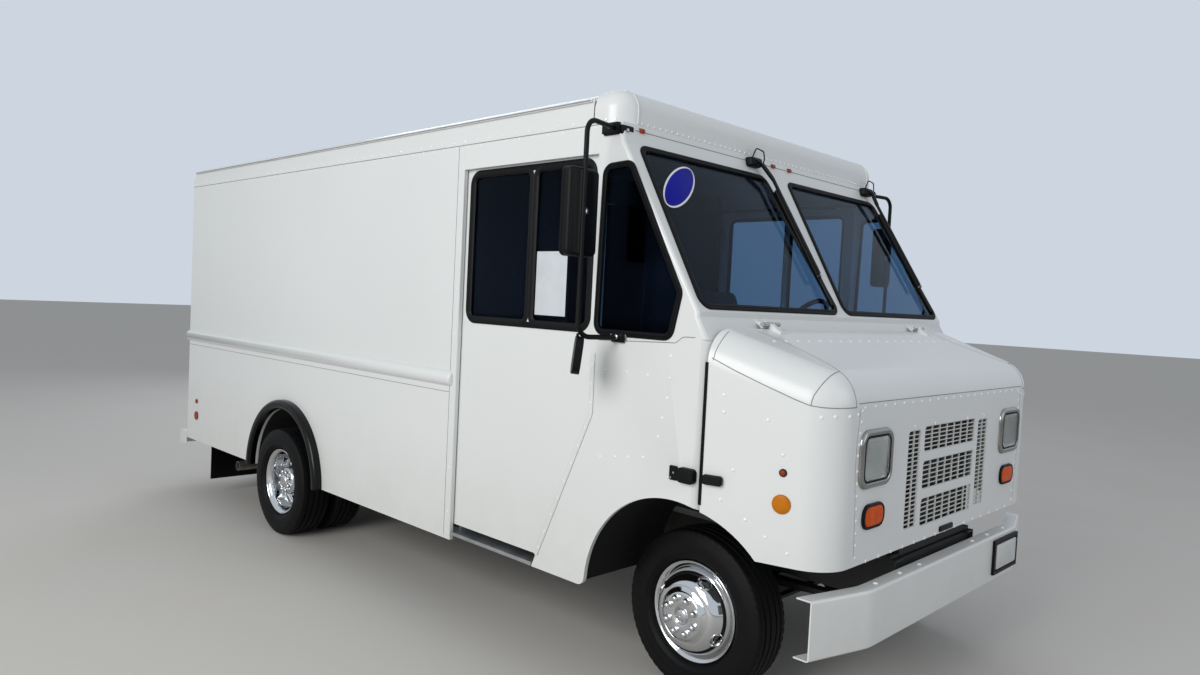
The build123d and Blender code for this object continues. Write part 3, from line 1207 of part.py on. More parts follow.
# Twin rear doors with windows, hinged on their outer edges
REAR_WIN_W = 420.0
REAR_WIN_HIGH = REAR_OPEN_HIGH - 290.0
REAR_WIN_LOW = REAR_WIN_HIGH - 480.0
for name, sx in SIDES:
    y1 = BODY_REAR
    y0 = BODY_REAR - REAR_DOOR_THICK
    inner = REAR_DOOR_GAP / 2
    outer = REAR_OPEN_HALF - REAR_DOOR_GAP
    middle = (inner + outer) / 2
    with BuildPart() as rear_door:
        cuboid(sx * inner, sx * outer, y0, y1, FLOOR_TOP + REAR_DOOR_GAP, REAR_OPEN_HIGH - REAR_DOOR_GAP)
        cuboid(sx * (middle - REAR_WIN_W / 2), sx * (middle + REAR_WIN_W / 2), y0 - 5, y1 + 5,
               REAR_WIN_LOW, REAR_WIN_HIGH, Mode.SUBTRACT)
        corners = rear_door.edges().filter_by(Axis.Y).filter_by(
            lambda edge: REAR_WIN_LOW - 1 < edge.center().Z < REAR_WIN_HIGH + 1
        )
        fillet(corners, 40)
        for z in REAR_HINGES_Z:
            barrel_z(sx * REAR_HINGE_X, BODY_REAR + REAR_HINGE_OUT, z - REAR_KNUCKLE, z + REAR_KNUCKLE,
                     REAR_HINGE_R)
            cuboid(sx * (REAR_HINGE_X - 90), sx * REAR_HINGE_X, BODY_REAR, BODY_REAR + REAR_HINGE_OUT,
                   z - REAR_KNUCKLE + 5, z + REAR_KNUCKLE - 5)
            barrel_z(sx * REAR_HINGE_X, BODY_REAR + REAR_HINGE_OUT, z - REAR_KNUCKLE - 5,
                     z + REAR_KNUCKLE + 5, REAR_PIN_R + REAR_PIN_FIT, Mode.SUBTRACT)
        barrel_z(sx * (inner + 60), BODY_REAR + 30, FLOOR_TOP + 420, FLOOR_TOP + 720, 10)
        for z in (FLOOR_TOP + 440, FLOOR_TOP + 700):
            barrel_y(sx * (inner + 60), BODY_REAR, BODY_REAR + 30, z, 9)
    save(rear_door, f"rear_door_{name}")

    with BuildPart() as rear_glass:
        cuboid(sx * (middle - REAR_WIN_W / 2 + GLASS_FIT), sx * (middle + REAR_WIN_W / 2 - GLASS_FIT),
               BODY_REAR - 20, BODY_REAR - 14, REAR_WIN_LOW + GLASS_FIT, REAR_WIN_HIGH - GLASS_FIT)
        fillet(rear_glass.edges().filter_by(Axis.Y), 40)
    save(rear_glass, f"rear_door_glass_{name}")

# Lamps of the body
LAMP_R = 52.0
LAMP_X = HALF - 203.0
LAMPS_Z = (620.0, 740.0, 860.0)
with BuildPart() as tail_lamps:
    for name, sx in SIDES:
        for z in LAMPS_Z:
            barrel_y(sx * LAMP_X, BODY_REAR, BODY_REAR + LAMP_PROUD, z, LAMP_R)
save(tail_lamps, "tail_lamps")

MARKER_Z = RAIL_SEAM_Z - 24.0
MARKERS_X = (128.0 - HALF, -160.0, 0.0, 160.0, HALF - 128.0)
SIDE_MARKER_Y = BODY_REAR - 199.0
header_slope = (WS_TOP_Y - HEADER_Y) / (RAIL_SEAM_Z - WS_TOP_Z)
marker_y = HEADER_Y + header_slope * (RAIL_SEAM_Z - MARKER_Z)
with BuildPart() as marker_lamps:
    for x in MARKERS_X:
        prism_x(
            (
                (marker_y - header_slope * 11, MARKER_Z + 11),
                (marker_y + header_slope * 11, MARKER_Z - 11),
                (marker_y + header_slope * 11 - 12, MARKER_Z - 9),
                (marker_y - header_slope * 11 - 12, MARKER_Z + 9),
            ),
            x - 14,
            x + 14,
        )
    for x in MARKERS_X:
        cuboid(x - 14, x + 14, BODY_REAR, BODY_REAR + 12, MARKER_Z - 20, MARKER_Z)
    for name, sx in SIDES:
        barrel_x(sx * HALF, sx * (HALF + 10), SIDE_MARKER_Y, 738, 18)
        barrel_x(sx * HALF, sx * (HALF + 8), SIDE_MARKER_Y, 618, 36)
save(marker_lamps, "marker_lamps")

# Mirrors on tube arms
MIRROR_X = HALF + 212.0
MIRROR_Y = HEADER_Y - 9.0
MIRROR_ARM_Z = RAIL_SEAM_Z - 29.0
MIRROR_FOOT_Z = COWL_LEDGE_Z - 112.0
MIRROR_TUBE_R = 11.0
MIRROR_BEND = 60.0
HEAD_X = MIRROR_X - 12.0
HEAD_W = 176.0
HEAD_HIGH = MIRROR_ARM_Z - 203.0
HEAD_LOW = HEAD_HIGH - 374.0
HEAD_DEPTH = 52.0
HEAD_R = 28.0
HEAD_BACK_R = 18.0
SPOT_W = 130.0
SPOT_H = 160.0
SPOT_DEPTH = 33.0
SPOT_R = 45.0
SPOT_TURN = (0.75, -0.65, -0.1)
for name, sx in SIDES:
    with BuildPart() as mirror:
        tube(
            (
                (sx * (HALF + 10), MIRROR_Y + 40, MIRROR_ARM_Z),
                (sx * MIRROR_X, MIRROR_Y, MIRROR_ARM_Z),
                (sx * MIRROR_X, MIRROR_Y, MIRROR_FOOT_Z),
                (sx * (HALF + 10), MIRROR_Y - 40, MIRROR_FOOT_Z),
            ),
            MIRROR_TUBE_R,
            MIRROR_BEND,
        )
        cuboid(sx * HALF, sx * (HALF + 14), MIRROR_Y + 10, MIRROR_Y + 110, MIRROR_ARM_Z - 22,
               MIRROR_ARM_Z + 22)
        cuboid(sx * HALF, sx * (HALF + 14), MIRROR_Y - 80, MIRROR_Y - 10, MIRROR_FOOT_Z - 20,
               MIRROR_FOOT_Z + 20)
        with BuildPart() as head:
            cuboid(sx * (HEAD_X - HEAD_W / 2), sx * (HEAD_X + HEAD_W / 2), MIRROR_Y + 6,
                   MIRROR_Y + 6 + HEAD_DEPTH, HEAD_LOW, HEAD_HIGH)
            fillet(head.edges().filter_by(Axis.Y), HEAD_R)
            fillet(head.faces().sort_by(Axis.Y)[0].edges(), HEAD_BACK_R)
        spot_at = Vector(sx * (MIRROR_X - 8), MIRROR_Y + 4, MIRROR_FOOT_Z - 78)
        spot_plane = Plane(origin=spot_at, z_dir=Vector(-sx * SPOT_TURN[0], *SPOT_TURN[1:]))
        with BuildPart(spot_plane) as spot:
            Box(SPOT_W, SPOT_H, SPOT_DEPTH)
            fillet(spot.edges().filter_by(Axis(spot_at, spot_plane.z_dir)), SPOT_R)
    save(mirror, f"mirror_{name}")

# Wipers hung from the header
lean_unit = Vector(0, lean_run / lean_length, -lean_drop / lean_length)
lean_out = lean_plane.z_dir
WIPERS = ((-216.0, -120.0), (HALF - 178.0, HALF - 148.0))
WIPER_PIVOT_Z = RAIL_SEAM_Z - 42.0
with BuildPart() as wipers:
    for pivot_x, blade_x in WIPERS:
        pivot_y = HEADER_Y + header_slope * (RAIL_SEAM_Z - WIPER_PIVOT_Z)
        prism_x(
            (
                (pivot_y - header_slope * 22, WIPER_PIVOT_Z + 22),
                (pivot_y + header_slope * 22, WIPER_PIVOT_Z - 22),
                (pivot_y + header_slope * 22 - 40, WIPER_PIVOT_Z - 18),
                (pivot_y - header_slope * 22 - 40, WIPER_PIVOT_Z + 18),
            ),
            pivot_x - 32,
            pivot_x + 32,
        )
        start = Vector(pivot_x, pivot_y - 30, WIPER_PIVOT_Z)
        middle = Vector(blade_x, WS_TOP_Y, WS_TOP_Z) + lean_unit * 330 + lean_out * 26
        rod(start, middle, 7)
        high = Vector(blade_x, WS_TOP_Y, WS_TOP_Z) + lean_unit * 130 + lean_out * 14
        low = Vector(blade_x - 20, WS_TOP_Y, WS_TOP_Z) + lean_unit * (pane_low - 52) + lean_out * 14
        rod(high, low, 8)
        rod(middle, middle - lean_out * 14, 8)
save(wipers, "wipers")

# Cab interior
def cover_form(inset, front, bottom):
    """Gives the solid engine cover block, moved in by the wall, with rounded rear and top edges."""
    half = COVER_HALF - inset
    rear = COVER_REAR - inset
    with BuildPart() as block:
        cuboid(-half, half, front, rear, bottom, COVER_HIGH - inset)
        uprights = block.edges().filter_by(Axis.Z).filter_by_position(Axis.Y, rear - 1, rear + 1)
        fillet(uprights, COVER_R - inset)
        rim = block.faces().sort_by(Axis.Z)[-1].edges()
        rim = rim.filter_by(lambda edge: edge.center().Y > front + 1)
        fillet(rim, COVER_RIM_R - inset)
    return block.part


with BuildPart() as engine_cover:
    add(cover_form(0, COWL_FRONT_Y + FRONT_WALL, CAB_FLOOR))
    add(cover_form(COVER_WALL, COWL_FRONT_Y + FRONT_WALL - 5, CAB_FLOOR - 5), mode=Mode.SUBTRACT)
save(engine_cover, "engine_cover")

SEAT_X = 620.0
SEAT_Y = -1480.0
with BuildPart() as driver_seat:
    cuboid(SEAT_X - 240, SEAT_X + 240, SEAT_Y - 240, SEAT_Y + 240, 1130, 1240)
    prism_x(
        ((SEAT_Y + 160, 1240), (SEAT_Y + 260, 1240), (SEAT_Y + 330, 1860), (SEAT_Y + 250, 1860)),
        SEAT_X - 230,
        SEAT_X + 230,
    )
    cuboid(SEAT_X - 150, SEAT_X + 150, SEAT_Y - 170, SEAT_Y + 170, CAB_FLOOR, 1130)
save(driver_seat, "driver_seat")

WHEEL_X = 560.0
WHEEL_Y = -1900.0
WHEEL_Z = 1640.0
WHEEL_R = 205.0
COLUMN_TILT = 35.0
column = Vector(0, -cos(radians(COLUMN_TILT)), -sin(radians(COLUMN_TILT)))
hub = Vector(WHEEL_X, WHEEL_Y, WHEEL_Z)
with BuildPart() as dashboard:
    prism_x(
        (
            (COWL_FRONT_Y + FRONT_WALL, 1240),
            (COWL_FRONT_Y + FRONT_WALL + 180, 1240),
            (COWL_FRONT_Y + FRONT_WALL + 260, 1400),
            (COWL_FRONT_Y + FRONT_WALL + 220, 1540),
            (COWL_FRONT_Y + FRONT_WALL, 1570),
        ),
        -LINER_OUT,
        LINER_OUT,
    )
    rod(hub + column * (15 + SPINDLE_FIT), hub + column * 420, 26)
save(dashboard, "dashboard")

with BuildPart() as steering_wheel:
    with Locations(Plane(origin=hub, x_dir=(1, 0, 0), z_dir=-column).location):
        Torus(WHEEL_R - 14, 14)
        Cylinder(45, 30)
        with PolarLocations(WHEEL_R / 2, 3, 90):
            Box(WHEEL_R - 30, 26, 10)
save(steering_wheel, "steering_wheel")

WALKWAY_HALF = 340.0
WALKWAY_HIGH = RAIL_SEAM_Z - 164.0
with BuildPart() as bulkhead:
    cuboid(-LINER_IN, LINER_IN, BULKHEAD_Y, BULKHEAD_Y + BULKHEAD_THICK, CAB_FLOOR, RAIL_SEAM_Z)
    cuboid(-WALKWAY_HALF, WALKWAY_HALF, BULKHEAD_Y - 5, BULKHEAD_Y + BULKHEAD_THICK + 5, CAB_FLOOR - 5,
           WALKWAY_HIGH, Mode.SUBTRACT)
save(bulkhead, "bulkhead")

# Fuel tank, exhaust and mud flaps
with BuildPart() as fuel_tank:
    cuboid(RAIL_X + 20, RAIL_X + 460, -620, 330, 430, 670)
    fillet(fuel_tank.edges().filter_by(Axis.Y), 40)
    for y in (-450, 160):
        cuboid(RAIL_X, RAIL_X + 25, y - 20, y + 20, 480, 660)
save(fuel_tank, "fuel_tank")

EXHAUST_R = 34.0
PIPE_WALL = 3.0
TAIL_PIPE_Y = REAR_AXLE_Y + 871.0
TAIL_PIPE_Z = 320.0
TAIL_PIPE_END = HALF - 38.0
TAIL_SLEEVE_R = 36.0
TAIL_SLEEVE = 120.0
with BuildPart() as exhaust:
    tube(
        (
            (-250, -1900, 620),
            (-250, -1500, 430),
            (-560, -900, 420),
            (-560, 200, 420),
            (-600, REAR_AXLE_Y - 489, 560),
            (-600, REAR_AXLE_Y + 411, 600),
            (-640, TAIL_PIPE_Y, TAIL_PIPE_Z),
            (-TAIL_PIPE_END, TAIL_PIPE_Y, TAIL_PIPE_Z),
        ),
        EXHAUST_R,
        60,
    )
    barrel_y(-560, -620, -60, 430, 105)
    cuboid(-560, -RAIL_X, -370, -340, 520, 560)
    cuboid(-600, -RAIL_X, REAR_AXLE_Y + 291, REAR_AXLE_Y + 311, 585, 605)
    barrel_x(-TAIL_PIPE_END, -TAIL_PIPE_END + TAIL_SLEEVE, TAIL_PIPE_Y, TAIL_PIPE_Z, TAIL_SLEEVE_R)
    barrel_x(-TAIL_PIPE_END - 5, -TAIL_PIPE_END + 160, TAIL_PIPE_Y, TAIL_PIPE_Z, EXHAUST_R - PIPE_WALL,
             Mode.SUBTRACT)
save(exhaust, "exhaust")

FLAP_Y = BODY_REAR - 466.0
with BuildPart() as mud_flaps:
    for name, sx in SIDES:
        cuboid(sx * 600, sx * (SKIN_IN - 4), FLAP_Y - 4, FLAP_Y + 4, 130, DOOR_BOTTOM - 36)
        cuboid(sx * RAIL_X, sx * (LINER_IN - 6), FLAP_Y + 4, FLAP_Y + 30, 440, 510)
save(mud_flaps, "mud_flaps")
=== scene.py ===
"""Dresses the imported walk-in step van in its finishes and fine pieces, in a plain studio.

Lengths are in millimetres, as in the CAD model, and are turned to metres where a mesh is made.
X runs across the truck, Y along it with the front at -Y, and Z up from the ground.
"""
from __future__ import annotations

import json
import logging
import math
from dataclasses import dataclass, field
from enum import Enum
from functools import cache

import bmesh
import bpy
import numpy as np
from mathutils import Matrix, Vector
from mathutils.bvhtree import BVHTree

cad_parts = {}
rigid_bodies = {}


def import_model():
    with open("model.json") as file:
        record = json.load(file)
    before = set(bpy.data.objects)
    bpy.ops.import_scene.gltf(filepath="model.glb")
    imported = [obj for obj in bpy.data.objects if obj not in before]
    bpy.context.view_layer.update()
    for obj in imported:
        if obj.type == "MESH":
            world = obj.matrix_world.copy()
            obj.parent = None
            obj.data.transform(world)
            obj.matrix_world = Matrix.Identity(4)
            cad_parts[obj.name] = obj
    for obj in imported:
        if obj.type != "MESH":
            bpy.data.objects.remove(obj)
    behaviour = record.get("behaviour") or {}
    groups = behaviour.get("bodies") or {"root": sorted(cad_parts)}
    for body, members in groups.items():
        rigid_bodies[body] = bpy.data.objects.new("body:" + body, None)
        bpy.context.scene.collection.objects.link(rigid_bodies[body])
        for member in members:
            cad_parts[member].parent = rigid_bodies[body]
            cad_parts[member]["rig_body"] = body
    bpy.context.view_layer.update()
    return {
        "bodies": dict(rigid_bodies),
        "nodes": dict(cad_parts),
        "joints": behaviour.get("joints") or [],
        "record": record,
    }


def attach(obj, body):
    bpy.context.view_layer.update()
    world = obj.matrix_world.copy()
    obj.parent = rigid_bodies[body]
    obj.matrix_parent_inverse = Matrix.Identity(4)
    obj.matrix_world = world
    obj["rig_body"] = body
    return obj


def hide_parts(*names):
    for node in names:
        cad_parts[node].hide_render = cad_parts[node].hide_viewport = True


LOG = logging.getLogger("step_van")
MM = 0.001
Array = np.ndarray
Object = bpy.types.Object
Material = bpy.types.Material
Tree = bpy.types.NodeTree
Socket = bpy.types.NodeSocket


class Side(Enum):
    """A side of the truck, with its sign along X."""

    RIGHT = -1.0
    LEFT = 1.0


SIDES = tuple((side.name.lower(), side.value) for side in Side)


# Finishes


def linear(code: str) -> tuple[float, float, float, float]:
    """Turns an sRGB hex colour to linear light.

    Args:
        code: The colour as "#RRGGBB".

    Returns:
        Red, green, blue and an alpha of 1.
    """
    parts = [int(code[i : i + 2], 16) / 255 for i in (1, 3, 5)]
    red, green, blue = (p / 12.92 if p <= 0.04045 else ((p + 0.055) / 1.055) ** 2.4 for p in parts)
    return red, green, blue, 1.0


def add_node(
    tree: Tree, kind: str, settings: dict | None = None, links: dict | None = None
) -> bpy.types.Node:
    """Adds a shader node with its settings and links.

    Args:
        tree: The material's node tree.
        kind: The node's class name.
        settings: Values for its inputs, or for its own attributes, by name or input index.
        links: Output sockets to join to its inputs, by name or index.

    Returns:
        The new node.
    """
    made = tree.nodes.new(kind)
    for key, value in (settings or {}).items():
        if isinstance(key, int) or key in made.inputs:
            made.inputs[key].default_value = value
        else:
            setattr(made, key, value)
    for key, socket in (links or {}).items():
        tree.links.new(socket, made.inputs[key])
    return made


def new_tree(name: str) -> tuple[Material, Tree]:
    """Makes a material without nodes.

    Args:
        name: The material's name.

    Returns:
        The material and its emptied node tree.
    """
    material = bpy.data.materials.new(name)
    material.use_nodes = True
    material.node_tree.nodes.clear()
    return material, material.node_tree


@dataclass(frozen=True)
class Finish:
    """An opaque finish: colour with soft mottling, grime towards the ground, and a bump of its own grain.

    Sizes are in millimetres. A grain too fine to show is drawn as coarse as it needs to show. The waves are
    the slow unevenness of a sheet, and the spread is how far the roughness wanders to each side.
    """

    name: str
    colour: str
    slot: str = ""
    roughness: float = 0.5
    metallic: float = 0.0
    specular: float = 0.5
    coat: float = 0.0
    coat_roughness: float = 0.06
    mottle: str = ""
    mottle_mm: float = 400.0
    mottle_share: float = 0.5
    grain_mm: float = 0.0
    grain_depth: float = 0.0
    wave_mm: float = 0.0
    wave_depth: float = 0.0
    rough_spread: float = 0.0
    grime: str = ""
    grime_top: float = 900.0
    grime_share: float = 0.0

    def material(self) -> Material:
        """Gives the finish's material, made once."""
        return opaque_material(self)


# Noise levels between which a mottle comes in, and between which the roughness wanders
MOTTLE_LEVELS = (0.38, 0.72)
SCUFF_LEVELS = (0.3, 0.7)
# How often scuffs and streaks of road film repeat, per metre, and the height in metres where film is fullest
SCUFF_SCALE = 9.0
STREAK_SCALE = 6.0
FILM_FULLEST = 0.25
# The least roughness that a finish wanders to
SMOOTHEST = 0.02


def base_colour(tree: Tree, place: Socket, finish: Finish) -> Socket | None:
    """Clouds a finish's colour with its mottle, and streaks road film up from the ground.

    Args:
        tree: The material's node tree.
        place: The object's own coordinates.
        finish: What the surface is.

    Returns:
        The colour, or None where the finish is even.
    """
    layers = []
    if finish.mottle:
        cloud = add_node(
            tree, "ShaderNodeTexNoise", {"Scale": 1000 / finish.mottle_mm, "Detail": 2.0, "Roughness": 0.5},
            {"Vector": place},
        )
        low, high = MOTTLE_LEVELS
        share = add_node(
            tree, "ShaderNodeMapRange",
            {"From Min": low, "From Max": high, "To Min": 0.0, "To Max": finish.mottle_share},
            {"Value": cloud.outputs["Fac"]},
        )
        layers.append((finish.mottle, share.outputs["Result"]))
    if finish.grime:
        height = add_node(tree, "ShaderNodeSeparateXYZ", links={0: place})
        streaks = add_node(
            tree, "ShaderNodeTexNoise", {"Scale": STREAK_SCALE, "Detail": 6.0, "Roughness": 0.65},
            {"Vector": place},
        )
        film = add_node(
            tree,
            "ShaderNodeMapRange",
            {
                "From Min": finish.grime_top * MM,
                "From Max": FILM_FULLEST,
                "To Min": 0.0,
                "To Max": finish.grime_share,
            },
            {"Value": height.outputs["Z"]},
        )
        share = add_node(
            tree, "ShaderNodeMath", {"operation": "MULTIPLY"},
            {0: film.outputs["Result"], 1: streaks.outputs["Fac"]},
        )
        layers.append((finish.grime, share.outputs[0]))
    colour = None
    for over, share in layers:
        colours = {"data_type": "RGBA", 6: linear(finish.colour), 7: linear(over)}
        mixed = add_node(tree, "ShaderNodeMix", colours, {0: share})
        if colour is not None:
            tree.links.new(colour, mixed.inputs[6])
        colour = mixed.outputs[2]
    return colour


def scuffed(tree: Tree, place: Socket, finish: Finish) -> Socket | None:
    """Lets a finish's roughness wander to each side.

    Args:
        tree: The material's node tree.
        place: The object's own coordinates.
        finish: What the surface is.

    Returns:
        The roughness, or None where it is even.
    """
    if not finish.rough_spread:
        return None
    cloud = add_node(
        tree, "ShaderNodeTexNoise", {"Scale": SCUFF_SCALE, "Detail": 5.0, "Roughness": 0.6}, {"Vector": place}
    )
    low, high = SCUFF_LEVELS
    wander = add_node(
        tree,
        "ShaderNodeMapRange",
        {
            "From Min": low,
            "From Max": high,
            "To Min": max(SMOOTHEST, finish.roughness - finish.rough_spread),
            "To Max": finish.roughness + finish.rough_spread,
        },
        {"Value": cloud.outputs["Fac"]},
    )
    return wander.outputs["Result"]


def relief(tree: Tree, place: Socket, finish: Finish) -> Socket | None:
    """Raises a finish's slow waves and its grain as bumps, one over the other.

    Args:
        tree: The material's node tree.
        place: The object's own coordinates.
        finish: What the surface is.

    Returns:
        The normal, or None where the surface is smooth.
    """
    normal = None
    for size, depth in ((finish.wave_mm, finish.wave_depth), (finish.grain_mm, finish.grain_depth)):
        if not size:
            continue
        noise = add_node(tree, "ShaderNodeTexNoise", {"Scale": 1000 / size, "Detail": 0.0}, {"Vector": place})
        bump = add_node(
            tree, "ShaderNodeBump", {"Strength": 1.0, "Distance": depth * MM},
            {"Height": noise.outputs["Fac"]},
        )
        if normal is not None:
            tree.links.new(normal, bump.inputs["Normal"])
        normal = bump.outputs["Normal"]
    return normal


@cache
def opaque_material(finish: Finish) -> Material:
    """Builds the material of an opaque finish.

    Args:
        finish: What the surface is.

    Returns:
        The material, shared by every piece with that finish.
    """
    material, tree = new_tree(finish.name)
    place = add_node(tree, "ShaderNodeTexCoord").outputs["Object"]
    shader = add_node(
        tree,
        "ShaderNodeBsdfPrincipled",
        {
            "Base Color": linear(finish.colour),
            "Roughness": finish.roughness,
            "Metallic": finish.metallic,
            "Specular IOR Level": finish.specular,
            "Coat Weight": finish.coat,
            "Coat Roughness": finish.coat_roughness,
        },
    )
    for key, pattern in (("Base Color", base_colour), ("Roughness", scuffed), ("Normal", relief)):
        socket = pattern(tree, place, finish)
        if socket is not None:
            tree.links.new(socket, shader.inputs[key])
    add_node(tree, "ShaderNodeOutputMaterial", links={"Surface": shader.outputs[0]})
    return material


@dataclass(frozen=True)
class ClearFinish:
    """A see-through finish: tinted window glass, or pressed glass with flutes so many millimetres apart.

    Its painted reflection tint colours its reflections; where it is not white, it paints the reflection of a
    coloured sky.
    """

    name: str
    colour: str
    slot: str
    roughness: float = 0.01
    ior: float = 1.5
    painted_reflection_tint: str = "#FFFFFF"
    flute_mm: float = 0.0
    flute_depth: float = 0.0

    def material(self) -> Material:
        """Gives the finish's material, made once."""
        return clear_material(self)


# Bands that Blender's wave texture draws over a length of 1 at a scale of 1
WAVES_PER_UNIT = 3.2


@cache
def clear_material(finish: ClearFinish) -> Material:
    """Builds the material of a see-through finish.

    Args:
        finish: What the surface is.

    Returns:
        The material, shared by every piece with that finish.
    """
    material, tree = new_tree(finish.name)
    shader = add_node(
        tree,
        "ShaderNodeBsdfPrincipled",
        {
            "Base Color": linear(finish.colour),
            "Roughness": finish.roughness,
            "IOR": finish.ior,
            "Transmission Weight": 1.0,
            # Tints the reflections, a painted reflection of a coloured sky where the tint is not white
            "Specular Tint": linear(finish.painted_reflection_tint),
        },
    )
    if finish.flute_mm:
        place = add_node(tree, "ShaderNodeTexCoord").outputs["Object"]
        flutes = add_node(
            tree, "ShaderNodeTexWave",
            {"wave_type": "BANDS", "bands_direction": "X", "Scale": 1000 / finish.flute_mm / WAVES_PER_UNIT},
            {"Vector": place},
        )
        bump = add_node(
            tree, "ShaderNodeBump", {"Distance": finish.flute_depth * MM},
            {"Height": flutes.outputs["Fac"]},
        )
        tree.links.new(bump.outputs["Normal"], shader.inputs["Normal"])
    add_node(tree, "ShaderNodeOutputMaterial", links={"Surface": shader.outputs[0]})
    return material


# White enamel over aluminium sheet: satin under a thin gloss, slow waves in the sheet, road film low down
ENAMEL = Finish(
    "white_enamel_sheet", "#DCDFDF", "white_paint", roughness=0.36, coat=0.22, coat_roughness=0.2,
    mottle="#D6D8D8", mottle_mm=1500.0, wave_mm=900.0, wave_depth=3.0, grime="#A99F8D", grime_top=1000.0,
    grime_share=0.4,
)
# The same enamel on rivet, screw and bolt heads, painted brighter than the sheet as a painted highlight of
# their sunlit domes
PAINTED_HIGHLIGHT_ENAMEL = Finish(
    "white_enamel_trim", "#F1F1EF", "white_paint", roughness=0.18, coat=0.6, mottle="#E0E0DC", mottle_mm=60.0
)
# Satin enamel of the inner walls, its colour a painted shade: as dark as the inside of the body looks
LINER_PAINTED_SHADE = Finish("grey_liner_enamel", "#262B33", "liner_panel", roughness=0.55, mottle="#1F242B")
# Rolled aluminium of the sills, scuffed, and of the floor, duller
MILL_ALUMINIUM = Finish(
    "mill_aluminium", "#B9BBBC", "sill_aluminium", roughness=0.38, metallic=0.9, mottle="#8F9294",
    mottle_mm=120.0, rough_spread=0.1,
)
FLOOR_ALUMINIUM = Finish(
    "floor_aluminium", "#A6A8A9", "floor_ply", roughness=0.5, metallic=0.7, mottle="#77797A", mottle_mm=200.0
)
# Black chassis paint with road dust
CHASSIS_PAINT = Finish(
    "chassis_paint", "#151515", "black_chassis", roughness=0.6, mottle="#26231F", mottle_mm=150.0,
    grain_mm=6.0, grain_depth=0.2,
)
# Cast iron of the engine: rough from the sand mould
CAST_IRON = Finish(
    "cast_iron", "#2C2C2E", "engine_metal", roughness=0.7, metallic=0.5, grain_mm=4.0, grain_depth=0.4
)
# Aluminised steel pipe, browned by heat
EXHAUST_STEEL = Finish(
    "exhaust_steel", "#8C8781", "exhaust_steel", roughness=0.42, metallic=0.85, mottle="#6A5A4C",
    mottle_mm=60.0, grain_mm=5.0, grain_depth=0.1,
)
# Moulded black rubber of flares and flaps: smooth, soft sheen
FLARE_RUBBER = Finish(
    "flare_rubber", "#060607", "black_rubber", roughness=0.25, specular=0.22, coat=0.05, grain_mm=30.0,
    grain_depth=0.3,
)
# Extruded window rubber, matt with dust in its pores; the same black, in the gap behind the hood, is painted
# shade
SEAL_RUBBER_AND_GAP_SHADE = Finish(
    "seal_rubber", "#08080A", "black_rubber", roughness=0.5, specular=0.12, mottle="#161616", mottle_mm=50.0
)
# Sprayed underseal of the wheel housings, coarse and dull
HOUSING_COATING = Finish(
    "housing_coating", "#0E0E0F", "housing_black", roughness=0.85, grain_mm=8.0, grain_depth=0.6
)
# Textured black moulding of mirrors, wipers and latches
BLACK_ABS = Finish(
    "black_abs", "#0B0B0D", "housing_black", roughness=0.48, specular=0.16, grain_mm=3.0, grain_depth=0.06
)
# Grained moulding of the dashboard and engine cover
CAB_ABS = Finish("cab_abs", "#1E1F22", "cab_plastic", roughness=0.6, grain_mm=4.0, grain_depth=0.1)
# Vinyl-coated seat cloth, its grain drawn coarser than the real one
SEAT_CLOTH = Finish(
    "seat_vinyl", "#23262B", "seat_cloth", roughness=0.6, mottle="#2C3036", mottle_mm=40.0, grain_mm=5.0,
    grain_depth=0.3,
)
# Bright chromium plate of wheel covers and lamp bezels
CHROME = Finish(
    "chrome_plate", "#D6D7D8", "wheel_chrome", roughness=0.07, metallic=1.0, wave_mm=90.0, wave_depth=0.12,
    rough_spread=0.03,
)
BEZEL_CHROME = Finish(
    "bezel_chrome", "#9C9B98", "headlamp_chrome", roughness=0.2, metallic=1.0, rough_spread=0.06
)
# Vulcanised tyre rubber with dust of the road
TYRE_RUBBER = Finish(
    "tyre_rubber", "#050506", "tyre_rubber", roughness=0.6, specular=0.18, mottle="#0B0A09", mottle_mm=90.0,
    grain_mm=5.0, grain_depth=0.15,
)
# White enamel over the grille's thin bars
GRILLE_ENAMEL = Finish(
    "grille_enamel", "#CFD0CD", "grille_metal", roughness=0.4, mottle="#BDBEBA", mottle_mm=80.0
)
# Sealer pressed into the lap seams, grey with road film; the same grey, laid along the roof's gutter, is a
# painted shadow
SEALER_AND_PAINTED_SHADOW = Finish(
    "seam_sealer", "#8A8C8C", "black_rubber", roughness=0.8, mottle="#6C6E6E", mottle_mm=80.0
)
# Open joints between panels, with dirt in them
DARK_SEAM = Finish("dark_seam", "#2B2C2D", "black_rubber", roughness=0.8, mottle="#474644", mottle_mm=50.0)
# Printed vinyl stickers, left blank, and a sheet of paper behind the glass
STICKER_BLUE = Finish(
    "sticker_blue", "#080E90", "window_glass", roughness=0.5, specular=0.1, mottle="#0A1298", mottle_mm=60.0
)
STICKER_WHITE = Finish(
    "sticker_white", "#E8E9EC", "window_glass", roughness=0.35, mottle="#DCDDE0", mottle_mm=60.0
)
PAPER = Finish("paper_sheet", "#C8CED3", "window_glass", roughness=0.75, mottle="#B6BDC3", mottle_mm=90.0)
# Pressed number-plate blank, bare painted aluminium
PLATE_BLANK = Finish(
    "plate_blank", "#C9CCCB", "housing_black", roughness=0.45, mottle="#B4B8B8", mottle_mm=70.0
)
# Polished stainless steel of hinges, clamps and bolts
STAINLESS = Finish(
    "stainless_steel", "#B4B2AC", "wheel_chrome", roughness=0.22, metallic=1.0, rough_spread=0.08
)
# Bare aluminised reflector of a lamp, or a mirror's glass, which breaks up what it gives back
REFLECTOR = Finish(
    "lamp_reflector", "#E2E5E8", "headlamp_chrome", roughness=0.1, metallic=1.0, grain_mm=12.0,
    grain_depth=0.25, wave_mm=150.0, wave_depth=14.0,
)
